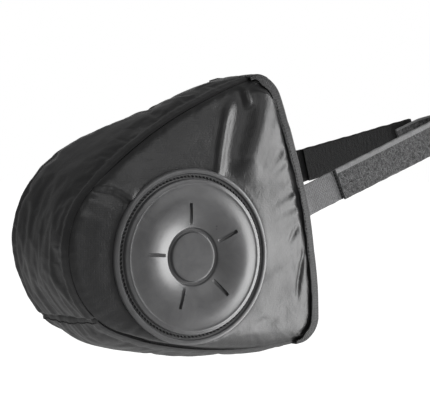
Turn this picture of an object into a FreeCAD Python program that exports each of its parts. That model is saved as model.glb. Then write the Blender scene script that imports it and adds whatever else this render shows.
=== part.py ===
"""Rear derailleur guard: a padded cloth pouch with a moulded bumper disc and a hook-and-loop strap.

Frame, in millimetres: +X points forward out of the mouth, -Y is the outer side with the disc,
+Z is up. The origin is the middle of the mouth.
"""
import FreeCAD, Part
import math
import os
import Sketcher

V = FreeCAD.Vector

SIZES = {
    # Seam outline of the side panels, seen from the side
    "rear_back": 151.0,
    "rear_drop": 25.0,
    "rear_radius": 64.0,
    "top_radius": 340.0,
    "bottom_radius": 380.0,
    # Mouth edge, seen from the side
    "mouth_top_back": 47.0,
    "mouth_top_height": 101.5,
    "mouth_bottom_back": 9.5,
    "mouth_bottom_drop": 97.0,
    "mouth_radius": 400.0,
    "top_corner_radius": 22.0,
    "bottom_corner_radius": 16.0,
    # Seams: half the gusset's width at the mouth, and how it widens to the rear
    "mouth_half_width": 20.5,
    "seam_yaw_angle": 8.5,
    # Padded cloth wall
    "wall": 4.0,
    # The lofted forms run on ahead of the mouth, and their front moves with each step of growth
    "form_front": 35.0,
    "front_run_ratio": 2.8,
    # Flat seat of the disc on the outer panel
    "seat_back": 113.0,
    "seat_drop": 30.0,
    "seat_depth": 50.0,
    "seat_margin": 1.0,
    "seat_yaw_angle": 3.0,
    # Directions on the seat that face the seam outline's four corners
    "front_top_angle": 47.0,
    "top_rear_angle": 140.0,
    "rear_bottom_angle": 240.0,
    "front_bottom_angle": 330.0,
    # Gusset cross seam, as an angle about the rear arc's centre
    "cross_seam_angle": 232.0,
    # Mouth binding tape
    "binding_thickness": 1.0,
    "binding_lap": 8.0,
    # Bumper disc, from its rim to its middle
    "disc_radius": 65.0,
    "flange_thickness": 3.0,
    "flange_chamfer": 1.0,
    "flange_width": 4.5,
    "groove_width": 3.5,
    "groove_floor": 1.8,
    "shoulder_height": 5.0,
    "crest_radius": 41.0,
    "crest_height": 8.0,
    "dish_radius": 21.0,
    "dish_height": 5.2,
    "recess_floor": 3.2,
    "button_gap": 3.0,
    "button_height": 4.6,
    "slot_start_gap": 2.0,
    "slot_end_gap": 0.5,
    "slot_width": 2.0,
    "slot_floor": 4.8,
    "slot_count": 5.0,
    "slot_start_angle": 24.0,
    # Straps
    "strap_width": 25.0,
    "webbing_thickness": 1.6,
    "loop_tape_thickness": 2.2,
    "hook_tape_thickness": 2.0,
    "bend_radius": 12.0,
    "bend_ahead": 132.0,
    "near_strap_height": 7.5,
    "near_strap_angle": 22.0,
    "near_fold_ahead": 4.0,
    "near_fold_depth": 20.0,
    "near_tab_length": 24.0,
    "near_tab_angle": 21.0,
    "near_webbing_end": 50.0,
    "loop_tape_start": 34.0,
    "loop_tape_end": 100.0,
    "far_strap_height": 29.5,
    "far_strap_angle": 13.5,
    "far_fold_ahead": 4.0,
    "far_tab_length": 24.0,
    "far_tab_angle": 9.3,
    "far_strap_end": 122.0,
    "hook_tape_start": 22.0,
}

doc = FreeCAD.newDocument("derailleur_guard")


def make_sheet():
    """Write the driving dimensions to the spreadsheet, one alias to a row."""
    sheet = doc.addObject("Spreadsheet::Sheet", "sizes")
    for row, (alias, value) in enumerate(SIZES.items(), start=1):
        sheet.set(f"A{row}", alias)
        sheet.set(f"B{row}", f"{value:g}")
        sheet.setAlias(f"B{row}", alias)
    doc.recompute()
    return sheet


sheet = make_sheet()


class Size:
    """A value worked out from the spreadsheet: the number now, and the expression that binds it."""

    def __init__(self, now, text):
        self.now = now
        self.text = text

    def __add__(self, other):
        return Size(self.now + other.now, f"({self.text} + {other.text})")

    def __sub__(self, other):
        return Size(self.now - other.now, f"({self.text} - {other.text})")

    def __mul__(self, other):
        return Size(self.now * other.now, f"({self.text} * {other.text})")

    def __truediv__(self, other):
        return Size(self.now / other.now, f"({self.text} / {other.text})")

    def __neg__(self):
        return Size(-self.now, f"(-{self.text})")


def named(alias):
    """Read one driving dimension from the spreadsheet."""
    return Size(float(getattr(sheet, alias)), f"sizes.{alias}")


def cosine(angle):
    """Give the cosine of an angle in degrees."""
    return Size(math.cos(math.radians(angle.now)), f"cos({angle.text})")


ZERO = Size(0.0, "0")
TWO = Size(2.0, "2")
SQUARE = Size(90.0, "90")
FULL_TURN = 2 * math.pi
WALL = named("wall")
TAPE = named("binding_thickness")
HALF_WIDTH = named("mouth_half_width")
SEAM_YAW = named("seam_yaw_angle")
# Lengths along the tilted seam plane that reach the same place seen from the side
TILT = cosine(SEAM_YAW)
SEAT_RADIUS = named("disc_radius") + named("seat_margin")
# How far the cutting blocks reach past the part
REACH = named("rear_back") + named("rear_radius") + named("form_front")


def bind(target, prop, text):
    """Bind a property to an expression on the spreadsheet."""
    target.setExpression(prop, text)


def place(x, y, z, turn="rotation(vector(0; 0; 1); 0)"):
    """Give the expression of a placement from three sizes and a turn."""
    return f"placement(vector({x.text}; {y.text}; {z.text}); {turn})"


def turned(axis, angle):
    """Give the expression of a turn about X, Y or Z."""
    vector = {"x": "1; 0; 0", "y": "0; 1; 0", "z": "0; 0; 1"}[axis]
    return f"rotation(vector({vector}); {angle.text})"


def origin_item(body, role):
    """Find one of a body's own origin planes or axes."""
    return next(item for item in body.Origin.OriginFeatures if item.Role == role)


class Drawing:
    """A sketch that is drawn near its solution and then pinned to the spreadsheet."""

    def __init__(self, sketch):
        self.sketch = sketch

    def arc(self, centre, radius, start, end, construction=False):
        """Add an arc that runs anticlockwise, with its angles in radians."""
        circle = Part.Circle(V(centre[0], centre[1], 0), V(0, 0, 1), radius)
        return self.sketch.addGeometry(Part.ArcOfCircle(circle, start, end), construction)

    def line(self, start, end, construction=False):
        """Add a straight line."""
        segment = Part.LineSegment(V(start[0], start[1], 0), V(end[0], end[1], 0))
        return self.sketch.addGeometry(segment, construction)

    def guide_circle(self, centre, radius):
        """Add a full circle that only guides other lines."""
        circle = Part.Circle(V(centre[0], centre[1], 0), V(0, 0, 1), radius)
        return self.sketch.addGeometry(circle, True)

    def join(self, first, first_end, second, second_end, kind="Coincident"):
        """Join two ends, with a shared direction when the kind is Tangent."""
        self.rule(kind, first, first_end, second, second_end)

    def rule(self, kind, *where):
        """Add a constraint that has no size."""
        self.sketch.addConstraint(Sketcher.Constraint(kind, *where))

    def sized(self, kind, where, amount):
        """Add a constraint whose size follows the spreadsheet."""
        index = self.sketch.addConstraint(Sketcher.Constraint(kind, *where, amount.now))
        bind(self.sketch, f"Constraints[{index}]", amount.text)

    def radius(self, geometry, amount):
        """Fix the radius of an arc or a circle."""
        self.sized("Radius", (geometry,), amount)

    def direction(self, geometry, angle):
        """Fix a line's direction, given in degrees."""
        index = self.sketch.addConstraint(Sketcher.Constraint("Angle", geometry, math.radians(angle.now)))
        bind(self.sketch, f"Constraints[{index}]", angle.text)

    def pin_x(self, geometry, end, amount):
        """Fix a point's distance along the sketch's first axis."""
        self.sized("DistanceX", (-1, 1, geometry, end), amount)

    def pin_y(self, geometry, end, amount):
        """Fix a point's distance along the sketch's second axis."""
        self.sized("DistanceY", (-1, 1, geometry, end), amount)

    def pin(self, geometry, end, x, y):
        """Fix a point along both axes."""
        self.pin_x(geometry, end, x)
        self.pin_y(geometry, end, y)

    def polygon(self, corners):
        """Draw a closed polygon and pin each of its corners."""
        points = [(x.now, y.now) for x, y in corners]
        lines = [self.line(a, b) for a, b in zip(points, points[1:] + points[:1])]
        for first, second in zip(lines, lines[1:] + lines[:1]):
            self.join(first, 2, second, 1)
        for geometry, (x, y) in zip(lines, corners):
            self.pin(geometry, 1, x, y)


def body_sketch(body, name, role, offset=None):
    """Make a sketch on one of a body's origin planes, moved by an offset expression."""
    sketch = body.newObject("Sketcher::SketchObject", name)
    sketch.AttachmentSupport = [(origin_item(body, role), "")]
    sketch.MapMode = "FlatFace"
    if offset:
        bind(sketch, "AttachmentOffset", offset)
    return Drawing(sketch)


def free_sketch(name, placement):
    """Make a sketch outside any body, at a placement expression."""
    drawing = Drawing(doc.addObject("Sketcher::SketchObject", name))
    bind(drawing.sketch, "Placement", placement)
    return drawing


def seam_plane(depth, yaw):
    """Give the offset of a plane beside the middle one: a positive depth is the outer side."""
    return place(ZERO, ZERO, depth, turned("y", yaw))


OUTER_SEAM = seam_plane(HALF_WIDTH, SEAM_YAW)
INNER_SEAM = seam_plane(-HALF_WIDTH, -SEAM_YAW)


def inner_plane(rise):
    """Give the offset of a plane along the inner seam, raised outwards from it."""
    return seam_plane(-(HALF_WIDTH + rise / TILT), -SEAM_YAW)


def tangent_centre(inner_centre, inner_radius, point, radius, above):
    """Find the centre of an arc through a point that holds a smaller circle from outside."""
    dx = point[0] - inner_centre[0]
    dz = point[1] - inner_centre[1]
    span = math.hypot(dx, dz)
    reach = radius - inner_radius
    along = (reach * reach - radius * radius + span * span) / (2 * span)
    across = math.sqrt(reach * reach - along * along)
    turn = 1 if above else -1
    return (inner_centre[0] + (along * dx - turn * across * dz) / span,
            inner_centre[1] + (along * dz + turn * across * dx) / span)


def bearing(centre, point):
    """Give the direction from a centre to a point, in radians."""
    return math.atan2(point[1] - centre[1], point[0] - centre[0])


def seam_sketch(body, name, plane, grow):
    """Draw the side outline, grown outwards by a distance, and closed ahead of the mouth.

    Three arcs meet smoothly: the top, the rear and the bottom. The true outline is drawn as
    construction, with its ends at the mouth's two corners, and the grown one lies round it.
    """
    drawing = body_sketch(body, name, "XZ_Plane", plane)
    rear_x = -named("rear_back") / TILT
    rear_z = -named("rear_drop")
    top_x = -named("mouth_top_back") / TILT
    top_z = named("mouth_top_height")
    bottom_x = -named("mouth_bottom_back") / TILT
    bottom_z = -named("mouth_bottom_drop")
    rear_radius = named("rear_radius")
    top_radius = named("top_radius")
    bottom_radius = named("bottom_radius")
    rear = (rear_x.now, rear_z.now)
    top_end = (top_x.now, top_z.now)
    bottom_end = (bottom_x.now, bottom_z.now)
    top = tangent_centre(rear, rear_radius.now, top_end, top_radius.now, False)
    bottom = tangent_centre(rear, rear_radius.now, bottom_end, bottom_radius.now, True)
    top_join = bearing(top, rear)
    bottom_join = bearing(bottom, rear) + FULL_TURN

    true_top = drawing.arc(top, top_radius.now, bearing(top, top_end), top_join, True)
    true_rear = drawing.arc(rear, rear_radius.now, top_join, bottom_join, True)
    bottom_stop = bearing(bottom, bottom_end) + FULL_TURN
    true_bottom = drawing.arc(bottom, bottom_radius.now, bottom_join, bottom_stop, True)
    drawing.join(true_top, 2, true_rear, 1, "Tangent")
    drawing.join(true_rear, 2, true_bottom, 1, "Tangent")
    drawing.radius(true_rear, rear_radius)
    drawing.radius(true_top, top_radius)
    drawing.radius(true_bottom, bottom_radius)
    drawing.pin(true_rear, 3, rear_x, rear_z)
    drawing.pin(true_top, 1, top_x, top_z)
    drawing.pin(true_bottom, 2, bottom_x, bottom_z)

    front = (named("form_front") + named("front_run_ratio") * grow) / TILT
    grown_top = top_radius.now + grow.now
    grown_bottom = bottom_radius.now + grow.now
    front_top = math.acos((front.now - top[0]) / grown_top)
    front_bottom = FULL_TURN - math.acos((front.now - bottom[0]) / grown_bottom)
    low = bottom[1] + grown_bottom * math.sin(front_bottom)
    high = top[1] + grown_top * math.sin(front_top)
    top_arc = drawing.arc(top, grown_top, front_top, top_join)
    rear_arc = drawing.arc(rear, rear_radius.now + grow.now, top_join, bottom_join)
    bottom_arc = drawing.arc(bottom, grown_bottom, bottom_join, front_bottom)
    front_line = drawing.line((front.now, low), (front.now, high))
    for grown, true in ((rear_arc, true_rear), (top_arc, true_top), (bottom_arc, true_bottom)):
        drawing.join(grown, 3, true, 3)
    drawing.radius(rear_arc, rear_radius + grow)
    drawing.join(top_arc, 2, rear_arc, 1, "Tangent")
    drawing.join(rear_arc, 2, bottom_arc, 1, "Tangent")
    drawing.join(bottom_arc, 2, front_line, 1)
    drawing.join(front_line, 2, top_arc, 1)
    drawing.rule("Vertical", front_line)
    drawing.pin_x(front_line, 1, front)
    return drawing.sketch


def seat_sketch(body, name, grow):
    """Draw the disc's round seat, grown outwards, and parted where the seam outline has corners."""
    plane = place(-named("seat_back"), -named("seat_drop"), named("seat_depth") + grow,
                  turned("y", named("seat_yaw_angle")))
    drawing = body_sketch(body, name, "XZ_Plane", plane)
    radius = SEAT_RADIUS + grow
    corners = [named(alias) for alias in
               ("front_top_angle", "top_rear_angle", "rear_bottom_angle", "front_bottom_angle")]
    starts = [math.radians(corner.now) for corner in corners]
    ends = starts[1:] + [starts[0] + FULL_TURN]
    arcs = [drawing.arc((0, 0), radius.now, start, end) for start, end in zip(starts, ends)]
    drawing.radius(arcs[0], radius)
    drawing.pin(arcs[0], 3, ZERO, ZERO)
    spokes = []
    for geometry, start, corner in zip(arcs, starts, corners):
        spoke = drawing.line((0, 0), (radius.now * math.cos(start), radius.now * math.sin(start)), True)
        if geometry != arcs[0]:
            drawing.join(geometry, 3, arcs[0], 3)
        drawing.join(spoke, 1, arcs[0], 3)
        drawing.join(spoke, 2, geometry, 1)
        drawing.direction(spoke, corner)
        spokes.append(spoke)
    for first, second in zip(arcs, arcs[1:]):
        drawing.join(first, 2, second, 1)
    drawing.rule("PointOnObject", arcs[-1], 2, spokes[0])
    return drawing.sketch


def loft(body, kind, name, profile, section):
    """Loft between two sketches, adding to the body or cutting from it."""
    feature = body.newObject(f"PartDesign::{kind}Loft", name)
    feature.Profile = profile
    feature.Sections = [section]
    feature.Ruled = True
    body.Tip = feature


def loft_outer_side(body, kind, grow):
    """Loft the outer side, from its seam up to the disc's seat."""
    name = f"{body.Name}_{kind}_outer"
    seam = seam_sketch(body, f"{name}_seam", OUTER_SEAM, grow)
    seat = seat_sketch(body, f"{name}_seat", grow)
    loft(body, kind, name, seam, seat)


def loft_inner_side(body, kind, grow):
    """Loft the flat inner side, one wall thick, with edges that slope back from the seam."""
    name = f"{body.Name}_{kind}_inner"
    seam = seam_sketch(body, f"{name}_seam", INNER_SEAM, grow)
    face = seam_sketch(body, f"{name}_face", inner_plane(WALL + grow), grow - WALL)
    loft(body, kind, name, seam, face)


def loft_band(body, kind, grow, inner_end=INNER_SEAM):
    """Loft the gusset band, from the outer seam to the inner one."""
    name = f"{body.Name}_{kind}_band"
    first = seam_sketch(body, f"{name}_first", OUTER_SEAM, grow)
    second = seam_sketch(body, f"{name}_second", inner_end, grow)
    loft(body, kind, name, first, second)


class MouthEdge:
    """The mouth's edge seen from the side: a long arc between two rounded corners."""

    def __init__(self, name, grow, cap):
        """Draw the edge grown forwards, with both ends where it is a cap's length past its corners."""
        self.name = name
        self.grow = grow
        self.drawing = free_sketch(f"{name}_outline", place(ZERO, ZERO, ZERO, turned("x", SQUARE)))
        top_radius = named("top_corner_radius")
        bottom_radius = named("bottom_corner_radius")
        edge_radius = named("mouth_radius")
        top_x = -named("mouth_top_back")
        top_z = named("mouth_top_height") - top_radius
        bottom_x = -named("mouth_bottom_back")
        bottom_z = bottom_radius - named("mouth_bottom_drop")
        top = (top_x.now, top_z.now)
        bottom = (bottom_x.now, bottom_z.now)
        span = math.hypot(bottom[0] - top[0], bottom[1] - top[1])
        near = edge_radius.now - top_radius.now
        far = edge_radius.now - bottom_radius.now
        along = (near * near - far * far + span * span) / (2 * span)
        across = math.sqrt(near * near - along * along)
        down = ((bottom[0] - top[0]) / span, (bottom[1] - top[1]) / span)
        middle = (top[0] + along * down[0] + across * down[1], top[1] + along * down[1] - across * down[0])
        top_join = bearing(middle, top)
        bottom_join = bearing(middle, bottom)
        top_end = math.acos(cap.now / (top_radius + grow).now)
        bottom_end = -math.acos(cap.now / (bottom_radius + grow).now)

        drawing = self.drawing
        self.top_arc = drawing.arc(top, (top_radius + grow).now, top_join, top_end)
        edge = drawing.arc(middle, (edge_radius + grow).now, bottom_join, top_join)
        self.bottom_arc = drawing.arc(bottom, (bottom_radius + grow).now, bottom_end, bottom_join)
        drawing.pin(self.top_arc, 3, top_x, top_z)
        drawing.pin(self.bottom_arc, 3, bottom_x, bottom_z)
        drawing.radius(self.top_arc, top_radius + grow)
        drawing.radius(self.bottom_arc, bottom_radius + grow)
        drawing.radius(edge, edge_radius + grow)
        drawing.join(edge, 2, self.top_arc, 1, "Tangent")
        drawing.join(self.bottom_arc, 2, edge, 1, "Tangent")
        drawing.pin_x(self.top_arc, 2, top_x + cap)
        drawing.pin_x(self.bottom_arc, 1, bottom_x + cap)
        self.start = drawing.sketch.getPoint(self.top_arc, 2)
        self.stop = drawing.sketch.getPoint(self.bottom_arc, 1)

    def close(self, corners, first_rule):
        """Close the outline with lines that are upright and level by turns."""
        drawing = self.drawing
        points = [(self.start.x, self.start.y), *corners, (self.stop.x, self.stop.y)]
        lines = [drawing.line(a, b) for a, b in zip(points, points[1:])]
        rules = ["Horizontal", "Vertical"]
        for i, geometry in enumerate(lines):
            drawing.rule(rules[(i + rules.index(first_rule)) % 2], geometry)
        for first, second in zip(lines, lines[1:]):
            drawing.join(first, 2, second, 1)
        drawing.join(self.top_arc, 2, lines[0], 1)
        drawing.join(lines[-1], 2, self.bottom_arc, 1)
        return lines

    def block_ahead(self):
        """Make a block of all that lies ahead of the edge."""
        far = REACH.now
        lines = self.close([(self.start.x, far), (far, far), (far, -far), (self.stop.x, -far)], "Vertical")
        self.drawing.pin_y(lines[0], 2, REACH)
        self.drawing.pin_x(lines[1], 2, REACH)
        self.drawing.pin_y(lines[2], 2, -REACH)
        return self.block()

    def block_behind(self):
        """Make a block of all that lies behind the edge."""
        far = REACH.now
        top_lap = self.grow - named("mouth_top_back")
        bottom_lap = self.grow - named("mouth_bottom_back")
        lines = self.close([(top_lap.now, self.start.y), (top_lap.now, far), (-far, far), (-far, -far),
                            (bottom_lap.now, -far), (bottom_lap.now, self.stop.y)], "Horizontal")
        self.drawing.pin_x(lines[0], 2, top_lap)
        self.drawing.pin_y(lines[1], 2, REACH)
        self.drawing.pin_x(lines[2], 2, -REACH)
        self.drawing.pin_y(lines[3], 2, -REACH)
        self.drawing.pin_x(lines[4], 2, bottom_lap)
        return self.block()

    def block(self):
        """Extrude the closed outline across the whole part."""
        return extruded(self.name, self.drawing.sketch, REACH)


def extruded(name, base, length):
    """Extrude a sketch or a face evenly to both sides."""
    solid = doc.addObject("Part::Extrusion", name)
    solid.Base = base
    solid.DirMode = "Normal"
    solid.Symmetric = True
    solid.Solid = True
    bind(solid, "LengthFwd", length.text)
    return solid


def combined(kind, name, base, tool):
    """Cut one solid from another, or keep what two solids share."""
    result = doc.addObject(f"Part::{kind}", name)
    result.Base = base
    result.Tool = tool
    return result


def make_panels(mouth):
    """Make the two side panels, each a wall that ends at the mouth."""
    outer = doc.addObject("PartDesign::Body", "outer_form")
    loft_outer_side(outer, "Additive", ZERO)
    loft_outer_side(outer, "Subtractive", -WALL)
    inner = doc.addObject("PartDesign::Body", "inner_form")
    loft_inner_side(inner, "Additive", ZERO)
    return [combined("Cut", "outer_side_panel", outer, mouth),
            combined("Cut", "inner_side_panel", inner, mouth)]


def make_gussets(mouth):
    """Make the band between the panels, parted at its cross seam into rear and bottom."""
    form = doc.addObject("PartDesign::Body", "gusset_form")
    loft_band(form, "Additive", ZERO)
    loft_band(form, "Subtractive", -WALL)
    band = combined("Cut", "gusset_band", form, mouth)
    block = doc.addObject("Part::Box", "bottom_block")
    bind(block, "Length", REACH.text)
    bind(block, "Width", REACH.text)
    bind(block, "Height", (TWO * REACH).text)
    # The block's long face lies on the cross seam, and reaches just past the rear arc's centre
    turn = f"{turned('x', SQUARE)} * {turned('z', named('cross_seam_angle'))}"
    bind(block, "Placement",
         f"{place(-named('rear_back'), ZERO, -named('rear_drop'), turn)} * "
         f"{place(-named('rear_radius'), ZERO, -REACH)}")
    return [combined("Cut", "rear_gusset", band, block), combined("Common", "bottom_gusset", band, block)]


def make_binding(walls):
    """Make the folded tape over the mouth edge: two leaves and a fold, with the walls between."""
    form = doc.addObject("PartDesign::Body", "binding_form")
    loft_outer_side(form, "Additive", TAPE)
    loft_band(form, "Additive", TAPE)
    loft_inner_side(form, "Additive", TAPE)
    loft_outer_side(form, "Subtractive", -WALL - TAPE)
    loft_band(form, "Subtractive", -WALL - TAPE, inner_plane(-TAPE))
    ahead = MouthEdge("ahead_of_binding", TAPE, TAPE).block_ahead()
    behind = MouthEdge("behind_binding", -named("binding_lap"), ZERO).block_behind()
    trimmed = combined("Cut", "binding_trim", combined("Cut", "binding_front", form, ahead), behind)
    pieces = doc.addObject("Part::MultiFuse", "sewn_walls")
    pieces.Shapes = walls
    return combined("Cut", "mouth_binding", trimmed, pieces)


def disc_section():
    """Give the corners of the disc's half section, as radius and height, round from its middle."""
    rim = named("disc_radius")
    flange = named("flange_thickness")
    chamfer = named("flange_chamfer")
    groove_outside = rim - named("flange_width")
    groove_inside = groove_outside - named("groove_width")
    dish = named("dish_radius")
    button = dish - named("button_gap")
    return [
        (ZERO, ZERO),
        (rim, ZERO),
        (rim, flange - chamfer),
        (rim - chamfer, flange),
        (groove_outside, flange),
        (groove_outside, named("groove_floor")),
        (groove_inside, named("groove_floor")),
        (groove_inside, named("shoulder_height")),
        (named("crest_radius"), named("crest_height")),
        (dish, named("dish_height")),
        (dish, named("recess_floor")),
        (button, named("recess_floor")),
        (button, named("button_height")),
        (ZERO, named("button_height")),
    ]


def make_disc():
    """Make the moulded disc: a revolved section with radial slots in its raised ring."""
    body = doc.addObject("PartDesign::Body", "bumper_disc")
    bind(body, "Placement",
         place(-named("seat_back"), -named("seat_depth"), -named("seat_drop"),
               f"rotation({named('seat_yaw_angle').text}; 0; 90)"))
    section = body_sketch(body, "disc_section", "XZ_Plane")
    section.polygon(disc_section())
    solid = body.newObject("PartDesign::Revolution", "disc_solid")
    solid.Profile = section.sketch
    solid.ReferenceAxis = (section.sketch, ["V_Axis"])
    solid.Angle = 360
    body.Tip = solid
    doc.recompute()

    crest = named("crest_height")
    half = named("slot_width") / TWO
    start = named("dish_radius") + named("slot_start_gap")
    end = named("crest_radius") - named("slot_end_gap")
    outline = body_sketch(body, "slot_outline", "XY_Plane",
                          place(ZERO, ZERO, crest, turned("z", named("slot_start_angle"))))
    outline.polygon([(start, -half), (end, -half), (end, half), (start, half)])
    slot = body.newObject("PartDesign::Pocket", "slot")
    slot.Profile = outline.sketch
    slot.Type = "Length"
    bind(slot, "Length", (crest - named("slot_floor")).text)
    body.Tip = slot
    doc.recompute()
    slots = body.newObject("PartDesign::PolarPattern", "slots")
    slots.Originals = [slot]
    slots.Axis = (origin_item(body, "Z_Axis"), [""])
    slots.Angle = 360
    bind(slots, "Occurrences", named("slot_count").text)
    body.Tip = slots
    return body


def strap_frame(height, angle):
    """Give the placement of a strap's plane: along the strap, and then across the mouth."""
    return place(ZERO, ZERO, height, turned("y", -angle))


NEAR_FRAME = strap_frame(named("near_strap_height"), named("near_strap_angle"))
FAR_FRAME = strap_frame(named("far_strap_height"), named("far_strap_angle"))
WEBBING = named("webbing_thickness")
LOOP_TAPE = named("loop_tape_thickness")
BEND = named("bend_radius")
BEND_AHEAD = named("bend_ahead")
NEAR_FOLD = (named("near_fold_ahead"), -named("near_fold_depth"))
# Faces of the layers on the far leg, from the bend's inside outwards
HOOK_FACE = BEND + LOOP_TAPE
FAR_FACE = HOOK_FACE + named("hook_tape_thickness")


def ribbon(name, drawing, thickness):
    """Thicken a path to one side and extrude it to the strap's width."""
    layer = doc.addObject("Part::Offset2D", f"{name}_layer")
    layer.Source = drawing.sketch
    layer.Mode = "Skin"
    layer.Join = "Intersection"
    layer.Fill = True
    bind(layer, "Value", thickness.text)
    return extruded(name, layer, named("strap_width"))


def near_run_slope():
    """Give the slope of the near strap's run, from its fold to the bend, in radians."""
    ahead = BEND_AHEAD.now - NEAR_FOLD[0].now
    across = -NEAR_FOLD[1].now
    return math.atan2(across, ahead) - math.asin(BEND.now / math.hypot(ahead, across))


def near_run_point(ahead):
    """Give the point of the near strap's run at a distance ahead."""
    return (ahead, NEAR_FOLD[1].now + (ahead - NEAR_FOLD[0].now) * math.tan(near_run_slope()))


def make_near_strap():
    """Make the elastic webbing: a tab sewn along the wall, a fold at the mouth, and the run."""
    drawing = free_sketch("near_strap_path", NEAR_FRAME)
    bend = drawing.guide_circle((BEND_AHEAD.now, 0), BEND.now)
    drawing.radius(bend, BEND)
    drawing.pin(bend, 3, BEND_AHEAD, ZERO)
    angle = named("near_tab_angle")
    length = named("near_tab_length")
    end = named("near_webbing_end")
    fold = (NEAR_FOLD[0].now, NEAR_FOLD[1].now)
    start = (fold[0] - length.now * math.cos(math.radians(angle.now)),
             fold[1] - length.now * math.sin(math.radians(angle.now)))
    tab = drawing.line(start, fold)
    run = drawing.line(fold, near_run_point(end.now))
    drawing.join(tab, 2, run, 1)
    drawing.pin(run, 1, *NEAR_FOLD)
    drawing.sized("Distance", (tab,), length)
    drawing.direction(tab, angle)
    drawing.rule("Tangent", run, bend)
    drawing.pin_x(run, 2, end)
    return ribbon("near_strap", drawing, -WEBBING)


def make_loop_tape():
    """Make the loop tape: over the webbing's end, round the bend and back."""
    drawing = free_sketch("loop_tape_path", NEAR_FRAME)
    slope = near_run_slope()
    begin = named("loop_tape_start")
    end = named("loop_tape_end")
    start = near_run_point(begin.now)
    touch = (BEND_AHEAD.now + BEND.now * math.sin(slope), -BEND.now * math.cos(slope))
    lead = drawing.line((NEAR_FOLD[0].now, NEAR_FOLD[1].now), start, True)
    run = drawing.line(start, touch)
    bend = drawing.arc((BEND_AHEAD.now, 0), BEND.now, slope - math.pi / 2, math.pi / 2)
    back = drawing.line((BEND_AHEAD.now, BEND.now), (end.now, BEND.now))
    drawing.pin(lead, 1, *NEAR_FOLD)
    drawing.join(lead, 2, run, 1)
    drawing.rule("Parallel", lead, run)
    drawing.pin_x(run, 1, begin)
    drawing.join(run, 2, bend, 1, "Tangent")
    drawing.join(bend, 2, back, 1, "Tangent")
    drawing.radius(bend, BEND)
    drawing.pin(bend, 3, BEND_AHEAD, ZERO)
    drawing.rule("Horizontal", back)
    drawing.pin_x(back, 2, end)
    return ribbon("loop_tape", drawing, LOOP_TAPE)


def make_far_strap():
    """Make the plain webbing of the wheel side, with its tab along the inner panel."""
    drawing = free_sketch("far_strap_path", FAR_FRAME)
    angle = named("far_tab_angle")
    length = named("far_tab_length")
    end = named("far_strap_end")
    fold = (named("far_fold_ahead").now, FAR_FACE.now)
    start = (fold[0] - length.now * math.cos(math.radians(angle.now)),
             fold[1] + length.now * math.sin(math.radians(angle.now)))
    tab = drawing.line(start, fold)
    run = drawing.line(fold, (end.now, FAR_FACE.now))
    drawing.join(tab, 2, run, 1)
    drawing.pin(run, 1, named("far_fold_ahead"), FAR_FACE)
    drawing.sized("Distance", (tab,), length)
    drawing.direction(tab, -angle)
    drawing.rule("Horizontal", run)
    drawing.pin_x(run, 2, end)
    return ribbon("far_strap", drawing, -WEBBING)


def make_hook_tape():
    """Make the hook tape, a flat strip on the inside of the far strap's end."""
    width = named("strap_width")
    strip = doc.addObject("Part::Box", "hook_tape")
    bind(strip, "Length", (named("far_strap_end") - named("hook_tape_start")).text)
    bind(strip, "Width", named("hook_tape_thickness").text)
    bind(strip, "Height", width.text)
    bind(strip, "Placement", f"{FAR_FRAME} * {place(named('hook_tape_start'), HOOK_FACE, -width / TWO)}")
    return strip


def check_document(nodes):
    """Stop with a plain message if anything failed to build."""
    for item in doc.Objects:
        if "Invalid" in item.State or "Error" in item.State:
            raise RuntimeError(f"{item.Name} failed: {item.State}")
    for node in nodes:
        if node.Shape.isNull() or not node.Shape.isValid():
            raise RuntimeError(f"{node.Label} has no valid shape")


def main():
    """Build every piece, check it and write it out."""
    mouth = MouthEdge("ahead_of_mouth", ZERO, ZERO).block_ahead()
    walls = make_panels(mouth) + make_gussets(mouth)
    nodes = walls + [make_binding(walls), make_disc(), make_near_strap(), make_loop_tape(),
                     make_far_strap(), make_hook_tape()]
    doc.recompute()
    check_document(nodes)
    os.makedirs("parts", exist_ok=True)
    for node in nodes:
        node.Shape.exportStep(f"parts/{node.Label}.step")
        print(f"{node.Label}: {node.Shape.Volume:.0f} mm3, {len(node.Shape.Solids)} solid")


main()
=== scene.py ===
"""Rear derailleur guard: a padded pouch, its rubber disc and its straps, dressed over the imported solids."""

import logging
import math
from collections.abc import Callable, Iterator
from contextlib import contextmanager
from dataclasses import dataclass
from enum import Enum

import bpy
import numpy as np
from mathutils import Matrix, Vector
from mathutils.bvhtree import BVHTree
from mathutils.geometry import convex_hull_2d
from mathutils.noise import noise as smooth_noise


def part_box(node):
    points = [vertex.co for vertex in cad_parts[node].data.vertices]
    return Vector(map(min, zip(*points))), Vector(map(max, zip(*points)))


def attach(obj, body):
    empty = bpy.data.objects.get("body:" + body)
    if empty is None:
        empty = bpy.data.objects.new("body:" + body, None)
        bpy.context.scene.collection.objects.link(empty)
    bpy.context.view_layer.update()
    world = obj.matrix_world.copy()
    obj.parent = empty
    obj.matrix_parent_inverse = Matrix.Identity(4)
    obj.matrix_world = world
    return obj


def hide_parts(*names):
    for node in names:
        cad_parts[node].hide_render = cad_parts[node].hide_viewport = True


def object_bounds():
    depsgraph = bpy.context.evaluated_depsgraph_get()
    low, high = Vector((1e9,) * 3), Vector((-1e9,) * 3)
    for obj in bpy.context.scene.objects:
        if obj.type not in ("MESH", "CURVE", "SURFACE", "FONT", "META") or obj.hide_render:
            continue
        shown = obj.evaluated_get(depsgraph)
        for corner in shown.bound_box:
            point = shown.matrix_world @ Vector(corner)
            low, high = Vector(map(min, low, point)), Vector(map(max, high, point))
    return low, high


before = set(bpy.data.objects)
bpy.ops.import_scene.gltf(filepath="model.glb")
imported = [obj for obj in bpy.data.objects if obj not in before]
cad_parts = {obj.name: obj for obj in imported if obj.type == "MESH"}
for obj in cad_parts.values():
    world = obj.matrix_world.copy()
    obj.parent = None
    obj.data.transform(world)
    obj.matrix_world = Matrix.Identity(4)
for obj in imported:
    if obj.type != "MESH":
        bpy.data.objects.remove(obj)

LOG = logging.getLogger("guard")
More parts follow.
